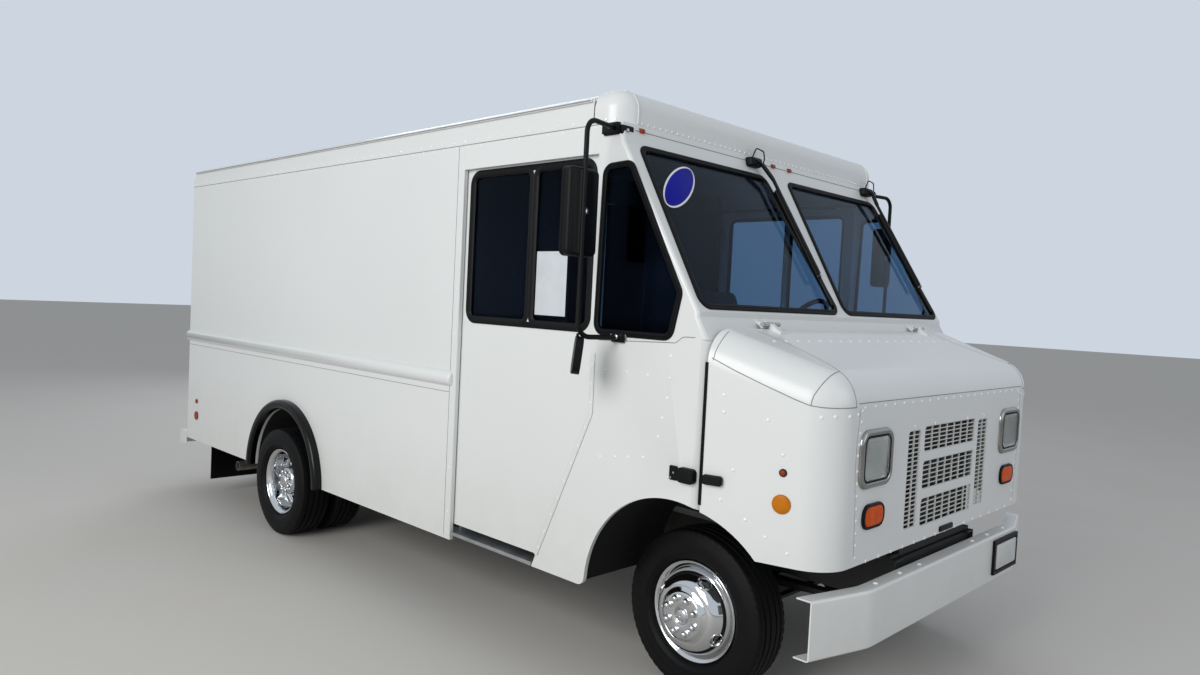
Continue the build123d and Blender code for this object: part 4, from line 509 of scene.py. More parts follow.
# Laminated glass with a grey-blue tint; its reflections are tinted blue, a painted reflection of a blue sky
WINDOW_GLASS = ClearFinish("tinted_glass", "#88A2BA", "window_glass", ior=1.15, painted_reflection_tint="#3C62B4")
# Pressed clear glass, fluted upright on its inner side
LAMP_GLASS = ClearFinish("lamp_glass", "#F2F4F2", "headlamp_chrome", ior=1.2, flute_mm=12.0, flute_depth=0.25)
# Moulded acrylic lenses, dyed through, with fine prisms on their inner side
AMBER_LENS = Finish(
    "amber_lens", "#CC4A08", "amber_lens", roughness=0.35, specular=0.12, mottle="#E46A0C", mottle_mm=34.0,
    grain_mm=9.0, grain_depth=0.5,
)
# Small marker lens, deep amber under road film
MARKER_LENS = Finish(
    "marker_lens", "#8E3A10", "red_lens", roughness=0.3, specular=0.2, mottle="#6E240A", mottle_mm=16.0,
    grain_mm=6.0, grain_depth=0.4,
)
# Pressed reflex reflector, a paler amber
REFLEX_AMBER = Finish(
    "reflex_amber", "#C2720C", "amber_lens", roughness=0.4, specular=0.15, mottle="#A65C08", mottle_mm=20.0,
    grain_mm=5.0, grain_depth=0.4,
)
# Tail lamps' lens, dyed deep red
RED_LENS = Finish(
    "red_lens", "#9C1A12", "red_lens", roughness=0.25, specular=0.2, mottle="#7A100C", mottle_mm=28.0,
    grain_mm=9.0, grain_depth=0.5,
)


# Geometry


def full_turn(count: int) -> Array:
    """Gives even angles round a full turn, in radians."""
    return np.linspace(0, 2 * math.pi, count, endpoint=False)


def unit(vectors: Array) -> Array:
    """Gives vectors scaled to a length of 1, along the last axis."""
    return vectors / np.maximum(np.linalg.norm(vectors, axis=-1, keepdims=True), 1e-12)


def fillet_arcs(corners: Array, before: Array, after: Array, radius: Array | float, steps: int) -> Array:
    """Replaces corners by arcs tangent to both sides.

    The arc's centre lies on the corner's bisector at radius / sin(half angle), and its points turn from one
    tangent point to the other at even angles.

    Args:
        corners: The corners, (n, d).
        before: The points before them.
        after: The points after them.
        radius: One radius, or one for each corner.
        steps: Spans in each arc.

    Returns:
        The arcs' points, (n, steps + 1, d).
    """
    size = np.broadcast_to(np.asarray(radius, float), (len(corners),))[:, None]
    back = unit(before - corners)
    ahead = unit(after - corners)
    half = np.arccos(np.clip((back * ahead).sum(1), -0.99999, 0.99999))[:, None] / 2
    centre = corners + unit(back + ahead) * size / np.sin(half)
    first = corners + back * size / np.tan(half) - centre
    last = corners + ahead * size / np.tan(half) - centre
    turn = (math.pi - 2 * half)[:, None]
    k = np.linspace(0, 1, steps + 1)[None, :, None]
    arcs = (first[:, None] * np.sin((1 - k) * turn) + last[:, None] * np.sin(k * turn)) / np.sin(turn)
    return centre[:, None] + arcs


def rounded_outline(corners: Array, radius: Array | float, steps: int = 8) -> Array:
    """Rounds the corners of a closed outline.

    Args:
        corners: The outline's corners, (n, d).
        radius: One radius, or one for each corner.
        steps: Spans in each arc.

    Returns:
        The rounded outline's points.
    """
    points = np.asarray(corners, float)
    arcs = fillet_arcs(points, np.roll(points, 1, 0), np.roll(points, -1, 0), radius, steps)
    return arcs.reshape(-1, points.shape[1])


def rounded_path(points: Array, radius: float, steps: int = 8) -> Array:
    """Rounds the inner corners of an open path.

    Args:
        points: The path's corners and ends, (n, d).
        radius: The arcs' radius.
        steps: Spans in each arc.

    Returns:
        The rounded path's points.
    """
    line = np.asarray(points, float)
    arcs = fillet_arcs(line[1:-1], line[:-2], line[2:], radius, steps)
    return np.concatenate([line[:1], arcs.reshape(-1, line.shape[1]), line[-1:]])


def rounded_rectangle(middle: tuple[float, float], width: float, height: float, radius: float) -> Array:
    """Gives a rounded rectangle about a point, counter-clockwise, (n, 2)."""
    corners = np.array([(-width, -height), (width, -height), (width, height), (-width, height)]) / 2
    return rounded_outline(corners + np.array(middle), radius)


def spread(start: Array, end: Array, pitch: float) -> Array:
    """Spaces stations evenly from one point to another.

    Args:
        start: The first station.
        end: The last one.
        pitch: About how far apart they are.

    Returns:
        The stations, (n, 3).
    """
    first, last = np.asarray(start, float), np.asarray(end, float)
    count = max(2, round(float(np.linalg.norm(last - first)) / pitch) + 1)
    return first + np.linspace(0, 1, count)[:, None] * (last - first)


def densify(points: Array, pitch: float) -> Array:
    """Spaces points evenly along a path of straight runs.

    Args:
        points: The path's points, (n, 3).
        pitch: About how far apart the new ones are.

    Returns:
        The new points.
    """
    line = np.asarray(points, float)
    length = np.concatenate([[0], np.cumsum(np.linalg.norm(np.diff(line, axis=0), axis=1))])
    stations = np.linspace(0, length[-1], max(2, int(length[-1] / pitch) + 1))
    return np.stack([np.interp(stations, length, line[:, k]) for k in range(line.shape[1])], 1)


@dataclass(frozen=True)
class Face:
    """A flat working plane: an origin, two directions in it, and the way out of it."""

    origin: tuple[float, float, float]
    across: tuple[float, float, float]
    up: tuple[float, float, float]

    def out(self) -> Array:
        """Gives the plane's outward normal."""
        return unit(np.cross(self.across, self.up))

    def at(self, flat: Array, height: Array | float = 0.0) -> Array:
        """Lifts (..., 2) points in the plane to space, with a height above it."""
        lifted = np.asarray(height, float)[..., None] * self.out()
        return (
            np.asarray(self.origin, float)
            + flat[..., :1] * unit(np.asarray(self.across, float))
            + flat[..., 1:2] * unit(np.asarray(self.up, float))
            + lifted
        )


def grid_quads(rows: int, columns: int, wrap_rows: bool = False, wrap_columns: bool = False) -> Array:
    """Joins a grid of points by quads.

    Args:
        rows: Rows of the grid.
        columns: Points in each row.
        wrap_rows: Whether the last row joins the first.
        wrap_columns: Whether each row's last point joins its first.

    Returns:
        The quads' point numbers, (n, 4).
    """
    i = np.arange(rows if wrap_rows else rows - 1)
    j = np.arange(columns if wrap_columns else columns - 1)
    a, b = (v.ravel() for v in np.meshgrid(i, j, indexing="ij"))
    c, d = (a + 1) % rows, (b + 1) % columns
    return np.stack([a * columns + b, c * columns + b, c * columns + d, a * columns + d], 1)


def tube_faces(rings: int, around: int, closed: bool = False) -> list[Array]:
    """Joins rings of points to a tube.

    Args:
        rings: Rings along the tube.
        around: Points in each ring.
        closed: Whether the last ring joins the first, instead of a polygon over each end.

    Returns:
        Arrays of the faces' point numbers.
    """
    walls = grid_quads(rings, around, wrap_rows=closed, wrap_columns=True)
    if closed:
        return [walls]
    rim = np.arange(around)
    return [walls, np.stack([rim, rim + (rings - 1) * around])]


def add_object(name: str, data: bpy.types.ID) -> Object:
    """Puts a new object into the scene.

    Args:
        name: The object's name.
        data: Its mesh, lamp or camera.

    Returns:
        The object.
    """
    made = bpy.data.objects.new(name, data)
    bpy.context.scene.collection.objects.link(made)
    return made


def shade(mesh: bpy.types.Mesh, sharp: float) -> None:
    """Shades a mesh smooth, but for edges that turn by more than some degrees."""
    mesh.shade_smooth()
    mesh.set_sharp_from_angle(angle=math.radians(sharp))


@dataclass
class Workshop:
    """Makes pieces from points and sets them on their bodies.

    The pad fields are for filled cloth: the voxel that evens its mesh, its inner pressure, the frames that it
    swells for and the most that it swells, then how square its form is, how thick at its edge, how much more
    in its crown, how deep, wide and far out its channels are, and how far its sides pull in.
    """

    frame: dict
    trees: dict[str, BVHTree] = field(default_factory=dict)
    count: int = 0
    weld_reach: float = 0.002
    skin_reach: float = 0.005
    flat_angle: float = 0.3
    seam_pitch: float = 18.0
    seam_sink: float = 1.5
    pad_voxel: float = 6.0
    pad_pressure: float = 4.0
    pad_frames: int = 20
    pad_cap: float = 12.0
    pad_cuts: int = 23
    pad_squareness: float = 7.0
    pad_edge: float = 0.74
    pad_crown: float = 0.26
    pad_fall: float = 2.3
    pad_channel: float = 0.07
    pad_channel_at: float = 0.5
    pad_channel_wide: float = 0.035
    pad_pull: float = 0.035

    def place(self, piece: Object, finish: Finish | ClearFinish, body: str, *stands_for: str) -> Object:
        """Gives a piece its finish, its body and the CAD nodes that it stands for.

        Args:
            piece: The new object, with its place in its mesh.
            finish: What its surface is.
            body: The CAD body that carries it.
            stands_for: CAD nodes that it replaces.

        Returns:
            The same object.
        """
        piece.data.materials.clear()
        piece.data.materials.append(finish.material())
        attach(piece, body)
        if stands_for:
            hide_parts(*stands_for)
        self.count += 1
        LOG.info("%s rides on %s", piece.name, body)
        return piece

    def mesh(
        self, name: str, points: Array, faces: list[Array], finish: Finish | ClearFinish, body: str,
        *stands_for: str, sharp: float = 35.0, weld: bool = False, padded: bool = False,
    ) -> Object:
        """Makes one piece from points in millimetres and arrays of faces, its shells turned outwards.

        Args:
            name: The piece's name.
            points: Its points, in any shape that ends in 3.
            faces: Arrays of vertex numbers, each (n, corners).
            finish: What its surface is.
            body: The CAD body that carries it.
            stands_for: CAD nodes that it replaces.
            sharp: Edges that turn by more than these degrees stay crisp.
            weld: Whether points at the same place become one.
            padded: Whether it swells as filled cloth.

        Returns:
            The new object.
        """
        mesh = bpy.data.meshes.new(name)
        places = points.reshape(-1, 3) * MM
        sizes = np.concatenate([np.full(len(f), f.shape[1]) for f in faces])
        corners = np.concatenate([f.ravel() for f in faces]).astype(np.int32)
        starts = np.concatenate([[0], np.cumsum(sizes)[:-1]]).astype(np.int32)
        mesh.vertices.add(len(places))
        mesh.vertices.foreach_set("co", places.ravel())
        mesh.loops.add(len(corners))
        mesh.loops.foreach_set("vertex_index", corners)
        mesh.polygons.add(len(sizes))
        mesh.polygons.foreach_set("loop_start", starts)
        mesh.update(calc_edges=True)
        mesh.validate()
        shell = bmesh.new()
        shell.from_mesh(mesh)
        if weld:
            bmesh.ops.remove_doubles(shell, verts=shell.verts, dist=self.weld_reach * MM)
        bmesh.ops.recalc_face_normals(shell, faces=shell.faces)
        shell.to_mesh(mesh)
        shell.free()
        shade(mesh, sharp)
        piece = add_object(name, mesh)
        if padded:
            self.swell(piece)
        return self.place(piece, finish, body, *stands_for)

    def swell(self, piece: Object) -> None:
        """Swells a pad as filled cloth.

        The mesh is made even and blown up by inner pressure without gravity, and each point keeps at most a
        set travel from where it began.

        Args:
            piece: The pad, at rest and not yet carried by a body.
        """
        scene = bpy.context.scene
        even = piece.modifiers.new("even", "REMESH")
        even.mode = "VOXEL"
        even.voxel_size = self.pad_voxel * MM
        even.use_smooth_shade = True
        graph = bpy.context.evaluated_depsgraph_get()
        piece.data = bpy.data.meshes.new_from_object(piece.evaluated_get(graph))
        piece.modifiers.clear()
        start = np.empty(len(piece.data.vertices) * 3, np.float32)
        piece.data.vertices.foreach_get("co", start)
        cloth = piece.modifiers.new("filling", "CLOTH")
        cloth.settings.use_pressure = True
        cloth.settings.uniform_pressure_force = self.pad_pressure
        cloth.settings.effector_weights.gravity = 0.0
        for frame in range(1, self.pad_frames + 1):
            scene.frame_set(frame)
        graph = bpy.context.evaluated_depsgraph_get()
        end = np.empty_like(start)
        piece.evaluated_get(graph).data.vertices.foreach_get("co", end)
        piece.modifiers.clear()
        scene.frame_set(1)
        travel = (end - start).reshape(-1, 3)
        reach = np.linalg.norm(travel, axis=1, keepdims=True)
        share = np.minimum(1.0, self.pad_cap * MM / np.maximum(reach, 1e-9))
        piece.data.vertices.foreach_set("co", (start + (travel * share).ravel()).astype(np.float32))
        piece.data.shade_smooth()
        piece.data.update()

    def polished(self, node: str, finish: Finish, bevel: float, sharp: float) -> None:
        """Makes a merged, softly edged copy of a CAD node that stands for it.

        Args:
            node: The CAD node.
            finish: What its surface is.
            bevel: Width of its eased edges in millimetres, or 0 for none.
            sharp: Edges that turn by more than these degrees are eased.
        """
        source = self.frame["nodes"][node]
        mesh = source.data.copy()
        shell = bmesh.new()
        shell.from_mesh(mesh)
        bmesh.ops.remove_doubles(shell, verts=shell.verts, dist=self.skin_reach * MM)
        flat = math.radians(self.flat_angle)
        bmesh.ops.dissolve_limit(shell, angle_limit=flat, verts=shell.verts, edges=shell.edges)
        shell.to_mesh(mesh)
        shell.free()
        shade(mesh, sharp)
        piece = add_object(f"{node}_skin", mesh)
        if bevel:
            ease = piece.modifiers.new("eased_edges", "BEVEL")
            ease.width = bevel * MM
            ease.segments = 2
            ease.limit_method = "ANGLE"
            ease.angle_limit = math.radians(sharp)
            ease.harden_normals = True
        self.place(piece, finish, source["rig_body"], node)

    def recolour(self, node: str, finish: Finish | ClearFinish) -> None:
        """Gives a CAD node that stays as it is a better material.

        Args:
            node: The CAD node.
            finish: What its surface is.
        """
        mesh = self.frame["nodes"][node].data
        mesh.materials.clear()
        mesh.materials.append(finish.material())

    def lay(self, node: str, points: Array) -> tuple[Array, Array]:
        """Brings points down to the nearest places on a CAD node's surface.

        Args:
            node: The CAD node.
            points: Points near its surface in millimetres, (n, 3).

        Returns:
            The points on the surface and its normals there.
        """
        if node not in self.trees:
            shell = bmesh.new()
            shell.from_mesh(self.frame["nodes"][node].data)
            self.trees[node] = BVHTree.FromBMesh(shell)
            shell.free()
        found = [self.trees[node].find_nearest(Vector(p * MM)) for p in points]
        places = np.array([f[0] for f in found]) / MM
        normals = np.array([f[1] for f in found])
        return places, normals

    def seam(
        self, name: str, node: str, path: Array, width: float, finish: Finish, rise: float = 0.5
    ) -> None:
        """Lays a seam on a CAD node: a thin closed strip along a path on its surface.

        Its section is a flat trapezium: edges half a width to each side, sunk a little, and a top at the
        rise.

        Args:
            name: The piece's name.
            node: The CAD node.
            path: Points near the node's surface, (n, 3).
            width: The strip's width.
            finish: What its surface is.
            rise: Height of its top above the surface.
        """
        places, normals = self.lay(node, densify(path, self.seam_pitch))
        side = unit(np.cross(unit(np.gradient(places, axis=0)), normals))[:, None]
        sunk = -self.seam_sink
        section = np.array([(-0.5, sunk), (-0.4, rise), (0.4, rise), (0.5, sunk)])
        rows = places[:, None] + side * section[None, :, :1] * width + normals[:, None] * section[None, :, 1:]
        faces = tube_faces(len(places), len(section))
        self.mesh(name, rows, faces, finish, self.frame["nodes"][node]["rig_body"], sharp=60.0)

    def caps(
        self, name: str, centres: Array, normals: Array, profile: Array, finish: Finish | ClearFinish,
        body: str, *stands_for: str, sides: int = 12, sharp: float = 40.0,
    ) -> None:
        """Sets turned heads, such as rivets, bolts and wheel nuts, on a surface.

        Each head is its profile turned round its normal, with its first and last rings covered.

        Args:
            name: The piece's name.
            centres: Where the heads sit, (n, 3).
            normals: The way they point, (n, 3), or one way for all.
            profile: Radius and height of each ring, (k, 2).
            finish: What their surface is.
            body: The CAD body that carries them.
            stands_for: CAD nodes that they replace.
            sides: Points round each head.
            sharp: Edges that turn by more than these degrees stay crisp.
        """
        rows = np.asarray(profile, float)
        seats, out = np.atleast_2d(centres), unit(np.atleast_2d(np.asarray(normals, float)))
        helper = np.where(np.abs(out[:, 2:]) < 0.9, [[0.0, 0.0, 1.0]], [[1.0, 0.0, 0.0]])
        first = unit(np.cross(out, helper))
        second = np.cross(out, first)
        turn = full_turn(sides)
        block = (
            first[:, None, None] * (rows[:, :1] * np.cos(turn))[None, ..., None]
            + second[:, None, None] * (rows[:, :1] * np.sin(turn))[None, ..., None]
            + out[:, None, None] * rows[None, :, 1, None, None]
            + seats[:, None, None]
        )
        size = len(rows) * sides
        start = (np.arange(len(seats)) * size)[:, None, None]
        walls = grid_quads(len(rows), sides, wrap_columns=True)[None] + start
        ends = np.stack([np.arange(sides), np.arange(sides) + size - sides])[None] + start
        faces = [walls.reshape(-1, 4), ends.reshape(-1, sides)]
        self.mesh(name, block, faces, finish, body, *stands_for, sharp=sharp)

    def rivets(self, name: str, node: str, rows: list[Array], finish: Finish, radius: float = 8.0) -> None:
        """Sets domed rivet heads on a CAD node.

        A head is 0.42 of its radius high, with its rings at polar angles of 90, 60, 35 and 12 degrees.

        Args:
            name: The piece's name.
            node: The CAD node.
            rows: Points near the node's surface, each (n, 3).
            finish: What their surface is.
            radius: Radius of each head.
        """
        places, normals = self.lay(node, np.concatenate([np.atleast_2d(r) for r in rows]))
        body = self.frame["nodes"][node]["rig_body"]
        polar = np.radians([90.0, 60.0, 35.0, 12.0])
        rings = np.stack([radius * np.sin(polar), 0.42 * radius * np.cos(polar)], 1)
        rings = np.concatenate([[(radius, -1.5)], rings])
        self.caps(name, places, normals, rings, finish, body, sides=8, sharp=50.0)

    def moulding(
        self, name: str, outline: Array, face: Face, rings: Array, finish: Finish | ClearFinish, body: str,
        *stands_for: str, closed: bool = False, sharp: float = 35.0,
    ) -> None:
        """Carries an outline up through insets and heights, for lenses, housings, frames and seals.

        Ring k is the outline moved in along its own normals by its inset, at its height over the face.

        Args:
            name: The piece's name.
            outline: A closed outline in the face, counter-clockwise, (n, 2).
            face: The working plane.
            rings: Inset and height of each ring, (k, 2).
            finish: What its surface is.
            body: The CAD body that carries it.
            stands_for: CAD nodes that it replaces.
            closed: Whether the last ring joins the first, as in a seal, or both ends are covered.
            sharp: Edges that turn by more than these degrees stay crisp.
        """
        steps = np.asarray(rings, float)
        ahead = unit(np.roll(outline, -1, 0) - np.roll(outline, 1, 0))
        outward = np.stack([ahead[:, 1], -ahead[:, 0]], 1)
        flat = outline[None] - outward[None] * steps[:, None, :1]
        points = face.at(flat, np.broadcast_to(steps[:, 1:], flat.shape[:2]))
        faces = tube_faces(len(steps), len(outline), closed)
        self.mesh(name, points, faces, finish, body, *stands_for, sharp=sharp)

    def dome(
        self, name: str, outline: Array, face: Face, rings: Array, finish: Finish | ClearFinish, body: str
    ) -> None:
        """Carries an outline up a dome, for lenses and reflectors.

        Ring k is the outline drawn in towards its middle by its share, at its height over the face.

        Args:
            name: The piece's name.
            outline: A closed outline in the face, counter-clockwise, (n, 2).
            face: The working plane.
            rings: Share of the outline and height of each ring, (k, 2).
            finish: What its surface is.
            body: The CAD body that carries it.
        """
        steps = np.asarray(rings, float)
        middle = outline.mean(0)
        flat = middle + (outline - middle)[None] * steps[:, None, :1]
        points = face.at(flat, np.broadcast_to(steps[:, 1:], flat.shape[:2]))
        self.mesh(name, points, tube_faces(len(steps), len(outline)), finish, body)

    def tube(
        self, name: str, path: Array, radius: float, finish: Finish, body: str, sides: int = 14
    ) -> None:
        """Carries a circle along a path, square to it, with covered ends.

        Args:
            name: The piece's name.
            path: The path's points, (n, 3).
            radius: The circle's radius.
            finish: What its surface is.
            body: The CAD body that carries it.
            sides: Points round the circle.
        """
        line = np.asarray(path, float)
        ahead = unit(np.gradient(line, axis=0))
        helper = np.zeros(3)
        helper[int(np.argmin(line.max(0) - line.min(0)))] = 1.0
        side = unit(np.cross(ahead, helper))
        over = np.cross(side, ahead)
        turn = full_turn(sides)[None, :, None]
        points = line[:, None] + radius * (side[:, None] * np.cos(turn) + over[:, None] * np.sin(turn))
        self.mesh(name, points, tube_faces(len(line), sides), finish, body)

    def beam(
        self, name: str, path: Array, section: Array, scale: Array | float, up: Array, finish: Finish,
        body: str, *stands_for: str,
    ) -> None:
        """Carries a closed section along a path, upright to a given direction, with covered ends.

        Args:
            name: The piece's name.
            path: The path's points, (n, 3).
            section: The section's points, sideways and up, (k, 2).
            scale: One scale of the section, or one for each point of the path.
            up: The direction that the section stands in.
            finish: What its surface is.
            body: The CAD body that carries it.
            stands_for: CAD nodes that it replaces.
        """
        line = np.asarray(path, float)
        side = unit(np.cross(unit(np.gradient(line, axis=0)), up))
        size = np.broadcast_to(np.asarray(scale, float), (len(line),))[:, None, None]
        lifted = side[:, None] * section[None, :, :1] + np.asarray(up)[None, None] * section[None, :, 1:]
        points = line[:, None] + size * lifted
        faces = tube_faces(len(line), len(section))
        self.mesh(name, points, faces, finish, body, *stands_for, sharp=30.0)

    def cushion(
        self, name: str, centre: tuple[float, float, float], size: tuple[float, float, float], lean: float,
        finish: Finish, body: str, *stands_for: str,
    ) -> Object:
        """Makes a padded cushion: a rounded block with crowned faces, its sides pulled in between corners.

        A cube's grid is eased by a power, its wide faces rise with the cosine of the distance from their
        middle, and two shallow channels cross them. The block is then swollen as filled cloth.

        Args:
            name: The piece's name.
            centre: Its middle.
            size: Its extent along X, Y and Z.
            lean: Degrees that it turns about X.
            finish: What its surface is.
            body: The CAD body that carries it.
            stands_for: CAD nodes that it replaces.

        Returns:
            The new object.
        """
        shell = bmesh.new()
        bmesh.ops.create_cube(shell, size=2.0)
        bmesh.ops.subdivide_edges(shell, edges=shell.edges, cuts=self.pad_cuts, use_grid_fill=True)
        block = np.array([v.co[:] for v in shell.verts])
        faces = [np.array([[v.index for v in f.verts] for f in shell.faces])]
        shell.free()
        power = self.pad_squareness
        form = block / (np.abs(block) ** power).sum(1, keepdims=True) ** (1 / power)
        longest, middle, thin = (int(k) for k in np.argsort(size)[::-1])
        crown = np.cos(form[:, [longest, middle]] * math.pi / self.pad_fall).prod(1)
        beside = (np.abs(form[:, 0]) - self.pad_channel_at) / self.pad_channel_wide
        channel = np.exp(-(beside**2))
        form[:, thin] *= self.pad_edge + self.pad_crown * crown - self.pad_channel * channel
        form[:, longest] *= 1 - self.pad_pull * np.cos(form[:, middle] * math.pi / 2)
        half = np.asarray(size) / 2 - self.pad_cap / 2
        turn = math.radians(lean)
        flat = form * half
        y = flat[:, 1] * math.cos(turn) - flat[:, 2] * math.sin(turn)
        z = flat[:, 1] * math.sin(turn) + flat[:, 2] * math.cos(turn)
        points = np.stack([flat[:, 0], y, z], 1) + np.asarray(centre)
        return self.mesh(name, points, faces, finish, body, *stands_for, sharp=180.0, padded=True)


# Sub-assemblies


def side_face(side: float, x: float) -> Face:
    """Gives the upright plane on one side of the truck: across is Y times the side, up is Z."""
    return Face((side * x, 0, 0), (0, side, 0), (0, 0, 1))


def front_face(y: float) -> Face:
    """Gives an upright plane that faces the front, across from the truck's right to its left."""
    return Face((0, y, 0), (1, 0, 0), (0, 0, 1))


def rear_face(y: float) -> Face:
    """Gives an upright plane that faces the rear, across from the truck's left to its right."""
    return Face((0, y, 0), (-1, 0, 0), (0, 0, 1))


def windshield_face() -> Face:
    """Gives the windshield's plane, with its origin at the header and up along its slope."""
    header, sill = np.array([0, -2012, 2438]), np.array([0, -2468, 1711])
    return Face(tuple(header), (1, 0, 0), tuple(header - sill))


def side_outline(side: float, corners: Array, radius: float) -> Array:
    """Lays a rounded (y, z) outline in a side's plane.

    Args:
        side: The side's sign along X.
        corners: The outline's corners, (n, 2).
        radius: The radius of its corners.

    Returns:
        The outline, counter-clockwise, as the sign of its area shows.
    """
    outline = rounded_outline(np.asarray(corners, float) * np.array([side, 1]), radius)
    x, y = outline.T
    area = np.sum(x * np.roll(y, -1) - np.roll(x, -1) * y)
    return outline if area > 0 else outline[::-1]


def side_mirror(side: float, points: list) -> Array:
    """Gives points written for the right side, at -X, as they lie on either side."""
    return np.asarray(points, float) * np.array([-side, 1, 1])


def column(x: float, y: float, levels: Array) -> Array:
    """Gives points above each other at one place."""
    z = np.asarray(levels, float)
    return np.stack([np.full_like(z, x), np.full_like(z, y), z], 1)


@dataclass(frozen=True)
class Axle:
    """An axis along X that a wheel or barrel turns round, and which way it faces."""

    side: float
    x: float
    y: float
    z: float = 368.0

    def at(self, axial: Array, radial: Array, turn: Array) -> Array:
        """Gives points at a distance out along the axle, a radius and an angle from +Y towards +Z.

        Args:
            axial: Distance out from the axle's own place.
            radial: Distance from the axle.
            turn: Angle in radians.

        Returns:
            The points, (..., 3).
        """
        x = self.side * (self.x + axial)
        y = self.y + radial * np.cos(turn)
        z = self.z + radial * np.sin(turn)
        return np.stack(np.broadcast_arrays(x, y, z), -1)

    def turned(self, section: Array, count: int, sink: Array | float = 0) -> tuple[Array, list[Array]]:
        """Turns a closed section round the axle.

        Args:
            section: Distances out along the axle and from it, (n, 2).
            count: Spans round the axle.
            sink: How far points are drawn in, for all or (count, n).

        Returns:
            The points and the arrays of faces.
        """
        turn = full_turn(count)[:, None]
        points = self.at(section[None, :, 0], section[None, :, 1] - sink, turn)
        return points, tube_faces(count, len(section), closed=True)


@dataclass
class SubAssembly:
    """A part of the truck whose pieces are made in one shared workshop."""

    shop: Workshop

    def build(self) -> None:
        """Makes and dresses the pieces."""
        raise NotImplementedError

    def skins(self, finish: Finish, *nodes: str, bevel: float = 0, sharp: float = 28) -> None:
        """Dresses CAD nodes in one finish, with eased edges."""
        for node in nodes:
            self.shop.polished(node, finish, bevel, sharp)


